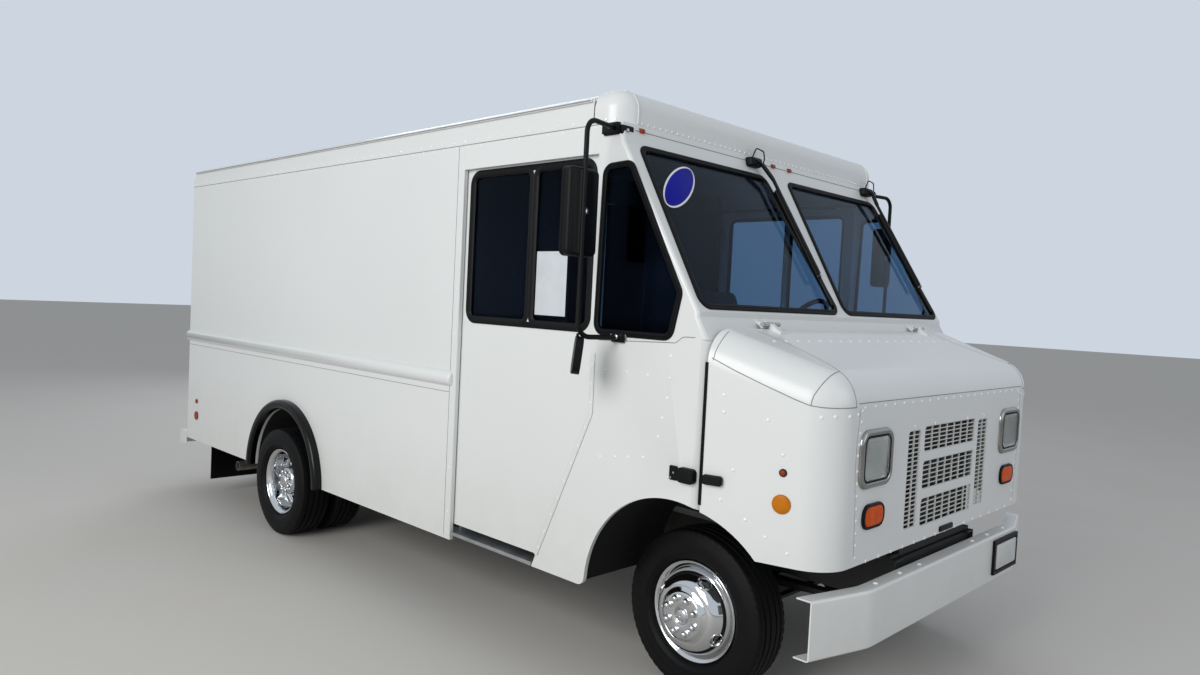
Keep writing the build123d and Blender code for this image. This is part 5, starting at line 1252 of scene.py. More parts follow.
@dataclass
class Shell(SubAssembly):
    """Body sides, roof, doors and walls: the CAD skins with eased edges, seams and rivet rows."""

    half_width: float = 1188.0
    rear: float = 2914.0
    rail_seam: float = 2524.0
    belt_seam: float = 1204.0
    gutter: float = 2640.0
    gutter_out: float = 12.0
    cap_rear: float = -1820.0
    header_y: float = -1991.0
    header_half: float = 1100.0
    casting_x: float = 1076.0
    casting_top: float = 2686.0
    post_front: float = -868.0
    post_rear: float = -818.0
    post_low: float = 428.0
    row_rise: float = 16.0
    row_end: float = 60.0
    rivet_pitch: float = 104.0
    header_pitch: float = 42.0
    cap_pitch: float = 52.0

    def build(self) -> None:
        """Dresses the CAD skins and lays their seams and rivets."""
        self.skins(ENAMEL, "side_panel_right", "side_panel_left", "roof", "cowl", "rear_frame", bevel=2)
        self.skins(ENAMEL, "cab_door_right", "cab_door_left", "rear_door_right", "rear_door_left", bevel=2.5)
        self.skins(ENAMEL, "roof_cap", "rub_rails", sharp=40)
        self.skins(FLARE_RUBBER, "fender_flares", bevel=3)
        self.skins(LINER_PAINTED_SHADE, "side_liners", "bulkhead")
        self.skins(MILL_ALUMINIUM, "step_wells", bevel=1.5)
        self.skins(FLOOR_ALUMINIUM, "body_floor")
        self.skins(FLARE_RUBBER, "mud_flaps", bevel=2)
        self.skins(HOUSING_COATING, "wheel_housings")
        for name, side in SIDES:
            self.side(name, side)
            self.cab_side(name, side)
            self.roof_edge(name, side)
        self.header()

    def side(self, name: str, side: float) -> None:
        """Lays the long seams, and the door post's trim with its screws.

        Args:
            name: The side's name.
            side: Its sign along X.
        """
        x, node = side * self.half_width, f"side_panel_{name}"
        for title, z, first, width in (
            ("rail_seam", self.rail_seam - 3, self.header_y + 3, 5),
            ("belt_seam", self.belt_seam, self.post_rear + 8, 4),
        ):
            line = np.array([(x, self.rear - 4, z), (x, first, z)])
            self.shop.seam(f"{title}_{name}", node, line, width, SEALER_AND_PAINTED_SHADOW)
        front, rear, low, high = self.post_front, self.post_rear, self.post_low, self.rail_seam - 10
        strip = side_outline(side, [(front, low), (rear, low), (rear, high), (front, high)], 4)
        rings = [(0, -2), (0, 1.8), (1.5, 3)]
        face = side_face(side, self.half_width)
        self.shop.moulding(f"post_trim_{name}", strip, face, rings, ENAMEL, "body")
        line = np.array([(x, rear + 3, low), (x, rear + 3, high)])
        self.shop.seam(f"post_seam_{name}", node, line, 5, DARK_SEAM)
        seats = column(x - side * 3, (front + rear) / 2, np.arange(560, 2480, 240))
        screw = [(6, 5), (6, 7.2), (4.6, 8.4), (1.5, 8.8)]
        self.shop.caps(f"post_screws_{name}", seats, (side, 0, 0), screw, PAINTED_HIGHLIGHT_ENAMEL, "body", sides=8)

    def cab_side(self, name: str, side: float) -> None:
        """Lays the door flange that slopes down behind the wheel arch, the sill's seam, and rivets.

        Args:
            name: The side's name.
            side: Its sign along X.
        """
        x, node = -self.half_width, f"side_panel_{name}"
        foot_y, foot_z, slope = -1562, 500, 0.4533
        flange = [(x, -1886, 1500), (x, -1887, 1222), (x, -1720, 850), (x, foot_y, foot_z)]
        path = side_mirror(side, flange)
        self.shop.seam(f"door_flange_{name}", node, path, 24, ENAMEL, rise=1.6)
        edge = path + np.array([0, -17, 0])
        self.shop.seam(f"door_flange_seam_{name}", node, edge, 3.5, SEALER_AND_PAINTED_SHADOW, rise=0.8)
        sill = [(x, -1922, 1560), (x, -2363, 1577), (x, -2398, 1604), (x, -2462, 1605)]
        self.shop.seam(f"sill_seam_{name}", node, side_mirror(side, sill), 4, SEALER_AND_PAINTED_SHADOW, rise=0.8)
        rows = [
            [(x, -2341, 1521), (x, -2340, 1430), (x, -2331, 1346), (x, -2310, 1260)],
            [(x, -2293, 1178), (x, -1969, 1430), (x, -2095, 1432), (x, -2219, 1432)],
            [(x, -1964, 1041), (x, -2055, 1055), (x, -2131, 1066), (x, -2217, 1080)],
            [(x, -1886, z) for z in (1275, 1360, 1445)],
            [(x, foot_y - slope * (z - foot_z), z) for z in np.arange(540, 1200, 88)],
        ]
        heads = [side_mirror(side, row) for row in rows]
        self.shop.rivets(f"cab_side_rivets_{name}", node, heads, PAINTED_HIGHLIGHT_ENAMEL, radius=7.5)

    def roof_edge(self, name: str, side: float) -> None:
        """Lays rivets under the roof's roll, a grey strip along the gutter as its painted shadow, and the
        joint between roof and front cap.

        Args:
            name: The side's name.
            side: Its sign along X.
        """
        x, rear = side * self.half_width, self.rear - self.row_end
        above, below = self.rail_seam + self.row_rise, self.rail_seam - self.row_rise
        row = spread((x, rear, above), (x, self.cap_rear + 30, above), self.rivet_pitch)
        self.shop.rivets(f"rail_rivets_{name}", "roof", [row], PAINTED_HIGHLIGHT_ENAMEL, radius=7)
        row = spread((x, rear, below), (x, self.header_y + self.row_end, below), self.rivet_pitch)
        self.shop.rivets(f"skin_rivets_{name}", f"side_panel_{name}", [row], PAINTED_HIGHLIGHT_ENAMEL, radius=6.5)
        row = spread((x, self.cap_rear - 22, above), (x, self.header_y + 40, above), self.cap_pitch)
        self.shop.rivets(f"cap_screws_{name}", "roof_cap", [row], PAINTED_HIGHLIGHT_ENAMEL, radius=8)
        # A grey strip on the gutter's outer face is the gutter's painted shadow line
        out, z = side * (self.half_width + self.gutter_out), self.gutter - 8
        line = np.array([(out, rear - 6, z), (out, self.cap_rear + 12, z)])
        self.shop.seam(f"gutter_shadow_{name}", "roof", line, 8, SEALER_AND_PAINTED_SHADOW, rise=0.6)
        line = column(x, self.cap_rear - 3, (self.rail_seam + 4, self.gutter - 4))
        self.shop.seam(f"cap_joint_{name}", "roof_cap", line, 6, DARK_SEAM, rise=0.8)

    def header(self) -> None:
        """Lays the seam and the rivet row along the header, and the beads of the corner castings."""
        half, y, top = self.header_half, self.header_y - 2, self.casting_top
        low, above = self.rail_seam - 30, self.rail_seam + 9
        line = np.array([(-half, y, low), (half, y, low)])
        self.shop.seam("header_seam", "cowl", line, 4.5, SEALER_AND_PAINTED_SHADOW, rise=0.8)
        row = spread((50 - half, y, above), (half - 50, y, above), self.header_pitch)
        self.shop.rivets("header_rivets", "roof_cap", [row], PAINTED_HIGHLIGHT_ENAMEL, radius=7)
        for name, side in SIDES:
            x = side * self.casting_x
            bead = [(x, y, self.rail_seam + 4), (x, y, 2585), (x, y + 30, 2655), (x, y + 100, top)]
            bead.append((x, self.cap_rear - 8, top))
            self.shop.seam(f"casting_bead_{name}", "roof_cap", np.array(bead), 12, ENAMEL, rise=2.6)


@dataclass
class Windows(SubAssembly):
    """Glass panes with their rubber seals, sashes and stickers.

    The windshield's numbers are across and up in its sloping plane, the side panes' are Y and Z.
    """

    windshield: tuple = ((118.0, -22.0), (38.0, -832.0), (1142.0, -832.0), (1090.0, -22.0))
    quarter: tuple = (
        (-1914, 2328), (-2066, 2334), (-2372, 1784), (-2330, 1597), (-1900, 1597)
    )
    quarter_x: float = 1188.0
    door: tuple = ((-910.0, 1600.0), (-910.0, 2370.0), (-1820.0, 2370.0), (-1820.0, 1600.0))
    door_x: float = 1160.0
    door_panes: tuple = (("rear", -914.0, -1387.0), ("front", -1413.0, -1816.0))
    rear_y: float = 2914.0
    rear_x: float = 391.0
    rear_z: float = 1890.0
    rear_wide: float = 420.0
    rear_high: float = 480.0
    seal_lap: float = 30.0
    seal_rise: float = 8.0
    door_seal_rise: float = 4.0
    sash_in: float = 20.0
    sash_rise: float = 3.0
    oval_long: float = 197.0
    oval_short: float = 68.0
    oval_at: tuple = (-915.0, -200.0)
    oval_along: tuple = (0.792, 0.610)

    def build(self) -> None:
        """Glazes the openings and lays a seal round each pane."""
        doors = [f"{end}_door_glass_{name}" for end in ("cab", "rear") for name, _ in SIDES]
        for node in ("windshield", "quarter_glass", *doors):
            self.shop.recolour(node, WINDOW_GLASS)
        for name, side in SIDES:
            corners = np.array(self.windshield) * np.array([side, 1])
            outline = rounded_outline(corners if side > 0 else corners[::-1], 45)
            self.seal(f"windshield_seal_{name}", outline, windshield_face(), "body")
            outline = side_outline(side, self.quarter, 42)
            self.seal(f"quarter_seal_{name}", outline, side_face(side, self.quarter_x), "body")
            self.door_window(name, side)
            middle = (-side * self.rear_x, self.rear_z)
            outline = rounded_rectangle(middle, self.rear_wide, self.rear_high, 40)
            self.seal(f"rear_window_seal_{name}", outline, rear_face(self.rear_y), f"rear_door_{name}")
        self.stickers()

    def seal(self, name: str, outline: Array, face: Face, body: str, highest: float = math.inf) -> None:
        """Lays a rubber seal round a pane: a soft lip over the skin and the glass, with a groove between.

        Args:
            name: The piece's name.
            outline: The pane's outline in its plane.
            face: The pane's plane.
            body: The CAD body that carries it.
            highest: The most that it stands out of the plane.
        """
        lap, rise = self.seal_lap, self.seal_rise
        outer = [(-0.5, 0.4), (-0.4, 0.85), (-0.2, 1), (-0.04, 1), (0, 0.72)]
        inner = [(0.04, 1), (0.2, 1), (0.42, 0.7), (0.5, 0.1)]
        top = np.array(outer + inner) * np.array([lap, rise])
        rings = np.concatenate([[(-0.5 * lap, -1)], top, [(0.5 * lap, -7), (0, -8)]])
        rings[:, 1] = np.minimum(rings[:, 1], highest)
        self.shop.moulding(name, outline, face, rings, SEAL_RUBBER_AND_GAP_SHADE, body, closed=True)

    def door_window(self, name: str, side: float) -> None:
        """Lays one cab door's outer seal and the black sashes of its two panes.

        Args:
            name: The side's name.
            side: Its sign along X.
        """
        face, body = side_face(side, self.door_x), f"cab_door_{name}"
        outline = side_outline(side, self.door, 60)
        self.seal(f"door_seal_{name}", outline, face, body, highest=self.door_seal_rise)
        width, rise = self.sash_in, self.sash_rise
        top = [(-14, -8), (-14, rise), (-11, rise + 2), (width * 0.5, rise + 2)]
        rings = top + [(width, -2), (width, -9)]
        low, high = self.door[0][1] + 4, self.door[1][1] - 4
        for title, rear, front in self.door_panes:
            pane = side_outline(side, [(rear, low), (rear, high), (front, high), (front, low)], 46)
            sash = f"door_sash_{title}_{name}"
            self.shop.moulding(sash, pane, face, rings, BLACK_ABS, body, closed=True)

    def stickers(self) -> None:
        """Lays the blank oval sticker on the windshield and the blank sheet behind the door's glass."""
        turn = full_turn(64)
        cos, sin = self.oval_along
        flat = np.stack([self.oval_long * np.cos(turn), self.oval_short * np.sin(turn)], 1)
        oval = flat @ np.array([(cos, sin), (-sin, cos)]) + np.array(self.oval_at)
        for name, finish, rings in (
            ("sticker_rim", STICKER_WHITE, [(0, -5.9), (0, -5.2), (0.6, -5)]),
            ("sticker_field", STICKER_BLUE, [(9, -5.4), (9, -4.7), (9.6, -4.5)]),
        ):
            self.shop.moulding(name, oval, windshield_face(), rings, finish, "body")
        right = Side.RIGHT.value
        corners = [(-1436, 1652), (-1436, 1960), (-1652, 1960), (-1652, 1652)]
        sheet, face = side_outline(right, corners, 1.5), side_face(right, self.door_x - 10)
        self.shop.moulding("window_sheet", sheet, face, [(0, 0.2), (0, 0.9)], PAPER, "cab_door_right")


@dataclass
class Nose(SubAssembly):
    """Hood, lamps, grille and bumpers."""

    front: float = -3039.0
    grille_half: float = 285.0
    grille_levels: tuple = ((1148.0, 1262.0), (983.0, 1110.0), (820.0, 945.0))
    vent_in: float = 322.0
    vent_out: float = 445.0
    vent_low: float = 830.0
    vent_high: float = 1252.0
    bar_half: float = 3.5
    wire_half: float = 2.2
    bolt_x: tuple = (-705.0, -490.0, -300.0, 300.0, 490.0, 705.0)
    bolt_y: float = -3054.0
    bolt_z: float = 664.0
    holder_y: float = -3105.0
    plate_x: float = 640.0
    plate_z: float = 556.0
    plate_wide: float = 268.0
    plate_high: float = 122.0
    lamp_x: float = 742.0
    lamp_z: float = 1170.0
    lamp_wide: float = 272.0
    lamp_high: float = 234.0
    lamp_frame: float = 54.0
    turn_x: float = 740.0
    turn_z: float = 940.0
    turn_wide: float = 176.0
    turn_high: float = 100.0
    taper: float = math.radians(14.3)
    taper_x: float = 1186.0
    taper_y: float = -2521.0
    side_lamp_y: float = -2849.0
    side_lamp_z: float = 1116.0
    reflector_z: float = 995.0
    latch_x: float = 1188.0
    hinge_x: float = 745.0
    hinge_y: float = -2524.0
    hinge_z: float = 1668.0

    def build(self) -> None:
        """Dresses the hood and what it carries."""
        self.skins(ENAMEL, "hood", sharp=40)
        self.skins(ENAMEL, "front_bumper", "rear_bumper", bevel=3)
        self.lattice()
        self.skins(BLACK_ABS, "hood_latches", bevel=5)
        self.skins(BLACK_ABS, "plate_holder", bevel=1.5)
        for name, side in SIDES:
            self.headlamp(name, side)
            self.turn_lamp(name, side)
            self.side_lamps(name, side)
            self.seams(name, side)
            self.rivet_rows(name, side)
            self.latch(name, side)
        self.front_rows()
        self.bumper_details()

    def lattice(self) -> None:
        """Fills the hood's five openings with thin upright and level bars, all boxes of one piece.

        The bars are evenly spaced, and their ends reach a little behind each opening's edge.
        """
        half, near, far, reach = self.grille_half, self.front + 3, self.front + 9, 8
        panes = [(-half, half, low, high, 7, 6) for low, high in self.grille_levels]
        for left, right in ((-self.vent_out, -self.vent_in), (self.vent_in, self.vent_out)):
            panes.append((left, right, self.vent_low, self.vent_high, 2, 22))
        bar, wire = self.bar_half, self.wire_half
        boxes = []
        for left, right, low, high, columns, rows in panes:
            for x in np.linspace(left + 4, right - 4, columns + 1):
                boxes.append(((x - bar, near, low - reach), (x + bar, far, high + reach)))
            for z in np.linspace(low + 2, high - 2, rows + 1):
                boxes.append(((left - reach, near + 1, z - wire), (right + reach, far - 1, z + wire)))
        ends = np.array(boxes)
        pick = np.array([(i & 1, i >> 1 & 1, i >> 2) for i in range(8)])
        points = ends[:, pick, np.arange(3)]
        sides = np.array([(0, 1, 3, 2), (4, 6, 7, 5), (0, 4, 5, 1), (2, 3, 7, 6), (0, 2, 6, 4), (1, 5, 7, 3)])
        faces = (sides[None] + 8 * np.arange(len(ends))[:, None, None]).reshape(-1, 4)
        self.shop.mesh("grille_bars", points, [faces], GRILLE_ENAMEL, "hood", "grille")

    def bumper_details(self) -> None:
        """Sets the bumper's carriage bolts and the blank number plate in its holder."""
        seats = [(x, self.bolt_y, self.bolt_z) for x in self.bolt_x]
        head = [(11, -1), (11, 1.5), (9, 4), (5, 5.8), (1, 6.3)]
        self.shop.caps("bumper_bolts", seats, (0, 0, 1), head, PAINTED_HIGHLIGHT_ENAMEL, "body", sides=16)
        plate = rounded_rectangle((self.plate_x, self.plate_z), self.plate_wide, self.plate_high, 10)
        rings = [(0, -4), (0, 0.6), (1, 1.2)]
        self.shop.moulding("number_plate_blank", plate, front_face(self.holder_y), rings, PLATE_BLANK, "body")

    def headlamp(self, name: str, side: float) -> None:
        """Builds a headlamp: chrome bezel, dished reflector, rubber gasket and fluted lens.

        Args:
            name: The side's name.
            side: Its sign along X.
        """
        face, here = front_face(self.front), (side * self.lamp_x, self.lamp_z)
        wide, high, inset = self.lamp_wide, self.lamp_high, self.lamp_frame
        frame = rounded_rectangle(here, wide, high, 60)
        outer = [(0, -1), (0, 4), (3, 11), (8, 14), (20, 15)]
        rings = outer + [(24, 13), (27, 8), (30, 2), (30, -1)]
        self.shop.moulding(
            f"lamp_bezel_{name}", frame, face, rings, BEZEL_CHROME, "hood", "headlamps", closed=True,
            sharp=50,
        )
        recess = rounded_rectangle(here, wide - inset, high - inset, 34)
        rim = [(1, 0.5), (1, 9), (0.95, 7), (0.86, 5)]
        bowl = rim + [(0.7, 3.2), (0.5, 2), (0.25, 1.3), (0.04, 1)]
        self.shop.dome(f"lamp_reflector_{name}", recess, face, bowl, REFLECTOR, "hood")
        rings = [(-1, 2), (-1, 13), (2, 14.5), (6, 13), (7, 9), (7, 2)]
        self.shop.moulding(f"lamp_gasket_{name}", recess, face, rings, SEAL_RUBBER_AND_GAP_SHADE, "hood", closed=True)
        over = [(0.04, 18.8), (0.3, 18.5), (0.55, 17.8), (0.78, 16.4), (0.92, 14.2), (0.97, 11.5)]
        under = [(share, height - 2.5) for share, height in over[::-1]]
        self.shop.dome(f"lamp_lens_{name}", recess, face, over + under, LAMP_GLASS, "hood")

    def turn_lamp(self, name: str, side: float) -> None:
        """Builds a turn lamp's black bezel and its amber lens.

        Args:
            name: The side's name.
            side: Its sign along X.
        """
        face, there = front_face(self.front), (side * self.turn_x, self.turn_z)
        outline = rounded_rectangle(there, self.turn_wide, self.turn_high, 44)
        rings = [(0, -1), (0, 9), (3, 12.5), (9, 12.5), (12, 8), (12, -1)]
        bezel = f"turn_bezel_{name}"
        self.shop.moulding(bezel, outline, face, rings, BLACK_ABS, "hood", "turn_lamps", closed=True)
        rings = [(11, 0), (11, 9), (14, 12), (20, 13.6), (34, 14.4)]
        self.shop.moulding(f"turn_lens_{name}", outline, face, rings, AMBER_LENS, "hood")

    def side_lamps(self, name: str, side: float) -> None:
        """Sets the small side lamp and the round reflector below it, each in its ring, on the tapered side.

        Args:
            name: The side's name.
            side: Its sign along X.
        """
        out = (side * math.cos(self.taper), -math.sin(self.taper), 0)
        x = self.taper_x - (self.taper_y - self.side_lamp_y) * math.tan(self.taper)
        lamp_ring = [(15.5, -2), (15.5, 4), (13.5, 6.5), (11, 6.5), (10.5, 4)]
        lamp = [(11.5, 0), (11.5, 6), (9, 8.5), (5, 9.8), (1.5, 10.2)]
        reflex_ring = [(37.5, -2), (37.5, 3), (35.5, 6), (33, 6)]
        reflex = [(34, 0), (34, 6), (31, 7.6), (16, 8), (2, 8)]
        for title, z, rings, finish in (
            ("side_lamp_ring", self.side_lamp_z, lamp_ring, BLACK_ABS),
            ("side_lamp", self.side_lamp_z, lamp, MARKER_LENS),
            ("reflector_ring", self.reflector_z, reflex_ring, REFLEX_AMBER),
            ("reflector", self.reflector_z, reflex, REFLEX_AMBER),
        ):
            seat = (side * x, self.side_lamp_y, z)
            self.shop.caps(f"{title}_{name}", seat, out, rings, finish, "hood", "turn_lamps", sides=40)

    def seams(self, name: str, side: float) -> None:
        """Lays the hood's moulded shoulder line, its corner casting's outline, and a black strip behind it
        that paints the shade in the gap between hood and cab.

        Args:
            name: The side's name.
            side: Its sign along X.
        """
        shoulder = [
            (-1178, -2542, 1530), (-1155, -2639, 1488), (-1124, -2760, 1441),
            (-1095, -2877, 1399), (-1080, -2932, 1382), (-1059, -2971, 1378),
            (-1024, -3005, 1377), (-974, -3031, 1378), (-919, -3039, 1379),
        ]
        inner = [
            (-1078, -2936, 1384), (-1073, -2939, 1415), (-1041, -2954, 1460),
            (-991, -2961, 1493), (-914, -2955, 1508),
        ]
        outer = [
            (-914, -2955, 1508), (-919, -2997, 1478), (-924, -3025, 1438),
            (-923, -3037, 1400), (-921, -3039, 1379),
        ]
        ridge = [
            (-886, -2545, 1642), (-864, -2627, 1616), (-860, -2721, 1585),
            (-871, -2821, 1552), (-887, -2898, 1527), (-914, -2955, 1508),
        ]
        gusset = [
            (-1176, -2548, 1520), (-1165, -2551, 1562), (-1134, -2554, 1602),
            (-1082, -2548, 1636),
        ]
        lap = [
            (-886, -3039, 1372), (-901, -3039, 1245), (-902, -3039, 1130),
            (-886, -3039, 990), (-874, -3039, 800),
        ]
        for title, path, width, rise in (
            ("shoulder_seam", shoulder, 4.5, 0.8), ("corner_inner", inner, 4.5, 0.8),
            ("corner_outer", outer, 4.5, 0.8), ("ridge_seam", ridge, 4, 0.7),
            ("gusset_seam", gusset, 4, 0.8), ("corner_lap", lap, 2.5, 0.5),
        ):
            line = side_mirror(side, path)
            self.shop.seam(f"{title}_{name}", "hood", line, width, SEALER_AND_PAINTED_SHADOW, rise=rise)
        # A black strip in the gap between hood and cab paints the gap's shade
        section = np.array([(-7, -14), (7, -14), (7, 0), (-7, 0)])
        x, y = side * 1187, -2524.5
        post = spread((x, y, 938), (x, y, 1512), 150)
        self.shop.beam(f"hood_strip_{name}", post, section, 1, (side, 0, 0), SEAL_RUBBER_AND_GAP_SHADE, "body")

    def rivet_rows(self, name: str, side: float) -> None:
        """Sets the hood's rivets: its front's upright row and its side's.

        Args:
            name: The side's name.
            side: Its sign along X.
        """
        rows = [
            spread((-870, -3039, 1362), (-886, -3039, 1190), 43),
            spread((-884, -3039, 1130), (-861, -3039, 790), 48),
            [(-1165, -2605, 1321), (-1104, -2844, 1184), (-1152, -2654, 1098)],
            [(-1164, -2609, 972), (-1137, -2713, 911), (-1116, -2794, 859)],
            [(-1094, -2881, 810), (-391, -3039, 1268), (-184, -3039, 1268)],
            [(-1166, -2601, 1388), (-1120, -2780, 1310), (-1060, -2972, 1340)],
            [(-1020, -3008, 1345), (-960, -3034, 1345), (-905, -3039, 1350)],
        ]
        heads = [side_mirror(side, row) for row in rows]
        self.shop.rivets(f"hood_rivets_{name}", "hood", heads, PAINTED_HIGHLIGHT_ENAMEL, radius=8)

    def front_rows(self) -> None:
        """Sets the rivet rows that cross the hood, its roll seam, handle strip and hinges."""
        y, back = self.front, -2660
        rows = [
            spread((-850, y, 1374), (850, y, 1374), 85),
            spread((-770, y, 762), (770, y, 762), 110),
            spread((-920, back, 1606), (920, back, 1606), 92),
        ]
        self.shop.rivets("hood_cross_rivets", "hood", rows, PAINTED_HIGHLIGHT_ENAMEL, radius=8)
        line = np.array([(-900, y, 1392), (900, y, 1392)])
        self.shop.seam("hood_roll_seam", "hood", line, 4, SEALER_AND_PAINTED_SHADOW, rise=0.7)
        grip = rounded_rectangle((4, 776), 150, 26, 10)
        rings = [(0, -1), (0, 4), (2, 6), (5, 7)]
        self.shop.moulding("hood_grip", grip, front_face(y), rings, BLACK_ABS, "hood")
        bore, wall, groove, end = 0.5, 9, 7, 68
        barrel = [(-end, bore), (-end, wall)]
        for knuckle in (-40, -13, 13, 40):
            barrel += [(knuckle - 1.5, wall), (knuckle - 1, groove), (knuckle + 1, groove)]
            barrel.append((knuckle + 1.5, wall))
        barrel += [(end, wall), (end, bore)]
        for name, side in SIDES:
            pin = Axle(1, side * self.hinge_x, self.hinge_y, self.hinge_z)
            points, faces = pin.turned(np.array(barrel), 24)
            self.shop.mesh(f"hinge_barrel_{name}", points, faces, STAINLESS, "body")

    def latch(self, name: str, side: float) -> None:
        """Sets the black keeper pad and the small bolted bracket on the cab's side, behind the hood's latch.

        Args:
            name: The side's name.
            side: Its sign along X.
        """
        face = side_face(side, self.latch_x)
        pad = rounded_rectangle((side * -2462, 1046), 84, 62, 18)
        rings = [(0, -1), (0, 22), (4, 27), (14, 29)]
        self.shop.moulding(f"latch_keeper_{name}", pad, face, rings, BLACK_ABS, "body")
        plate = rounded_rectangle((side * -2388, 1044), 42, 60, 6)
        rings = [(0, -1), (0, 5), (2, 7)]
        self.shop.moulding(f"latch_plate_{name}", plate, face, rings, BLACK_ABS, "body")
        seats = face.at(np.array([(side * -2392, 1046), (side * -2378, 1024)]), 5)
        head = [(5, 0), (5, 5), (3, 7)]
        self.shop.caps(f"latch_bolts_{name}", seats, (side, 0, 0), head, STAINLESS, "body")


@dataclass
class Dish:
    """A wheel's pressed face: a profile turned round the axle, pierced by oval hand holes.

    Each hole sits in a block of the polar grid, whose square edge is drawn into an oval in even rings. A
    raised lip and a sleeve follow the oval.
    """

    axle: Axle
    profile: Array
    pitch: float
    first_turn: float
    holes: int = 4
    long: float = 30.0
    short: float = 14.0
    oval_edge: float = 1.24
    eased: tuple = (0.0, 0.3, 0.55, 0.78, 1.0)
    lip: tuple = ((1.18, 2.0), (1.08, 2.8), (0.98, 2.0), (0.93, -1.0), (0.91, -8.0), (0.9, -22.0))
    block_low: float = 146.0
    block_high: float = 194.0
    block_columns: int = 14
    columns: int = 120
    slack: float = 0.01

    def axial(self, radial: Array) -> Array:
        """Gives the face's distance out at a radius, straight between the profile's points."""
        order = np.argsort(self.profile[:, 0])
        return np.interp(radial, self.profile[order, 0], self.profile[order, 1])

    def points_and_faces(self) -> tuple[Array, list[Array]]:
        """Gives the dish's mesh.

        Returns:
            Its points in millimetres, (n, 3), and its arrays of quads.
        """
        radial = self.profile[:, 0]
        turn = math.radians(self.first_turn) + full_turn(self.columns)
        grid = self.axle.at(self.profile[:, 1][:, None], radial[:, None], turn[None])
        quads = grid_quads(len(radial), self.columns, wrap_columns=True)
        row, column_of = quads[:, 0] // self.columns, quads[:, 0] % self.columns
        low = np.minimum(radial[row], radial[row + 1])
        high = np.maximum(radial[row], radial[row + 1])
        banded = (low >= self.block_low - self.slack) & (high <= self.block_high + self.slack)
        span = self.columns // self.holes
        half = self.block_columns // 2
        inside = ((column_of + half) % span) < self.block_columns
        points = [grid.reshape(-1, 3)]
        faces = [quads[~(banded & inside)]]
        start = len(points[0])
        for hole in range(self.holes):
            patch, around = self.hole_rings(turn[hole * span], radial)
            points.append(patch.reshape(-1, 3))
            faces.append(grid_quads(len(patch), around, wrap_columns=True) + start)
            start += len(points[-1])
        return np.concatenate(points), faces

    def hole_rings(self, middle: float, radial: Array) -> tuple[Array, int]:
        """Gives one hole's rings from its block's edge to the bottom of its sleeve.

        Args:
            middle: The hole's angle round the axle.
            radial: The profile's radii.

        Returns:
            The rings' points, (rings, around, 3), and the points in each ring.
        """
        step = 2 * math.pi / self.columns
        half = self.block_columns // 2
        banded = (radial >= self.block_low - self.slack) & (radial <= self.block_high + self.slack)
        rows = np.sort(radial[banded])
        across = np.arange(-half, half + 1) * step
        edge = np.concatenate(
            [
                np.stack([np.full(len(across) - 1, rows[0]), across[:-1]], 1),
                np.stack([rows[:-1], np.full(len(rows) - 1, across[-1])], 1),
                np.stack([np.full(len(across) - 1, rows[-1]), across[:0:-1]], 1),
                np.stack([rows[:0:-1], np.full(len(rows) - 1, across[0])], 1),
            ]
        )
        flat = np.stack([edge[:, 0] - self.pitch, edge[:, 1] * self.pitch], 1)
        phase = np.arctan2(flat[:, 1] / self.long, flat[:, 0] / self.short)
        oval = np.stack([self.short * np.cos(phase), self.long * np.sin(phase)], 1)
        rings = [flat * (1 - share) + oval * self.oval_edge * share for share in self.eased]
        rings += [oval * scale for scale, _ in self.lip]
        lift = np.array([0] * len(self.eased) + [rise for _, rise in self.lip])[:, None]
        sheet = np.stack(rings)
        r = self.pitch + sheet[..., 0]
        turn = middle + sheet[..., 1] / self.pitch
        slope = self.axial(r + 0.5) - self.axial(r - 0.5)
        tilt = np.sqrt(1 + slope**2)
        return self.axle.at(self.axial(r) + lift / tilt, r - lift * slope / tilt, turn), len(edge)


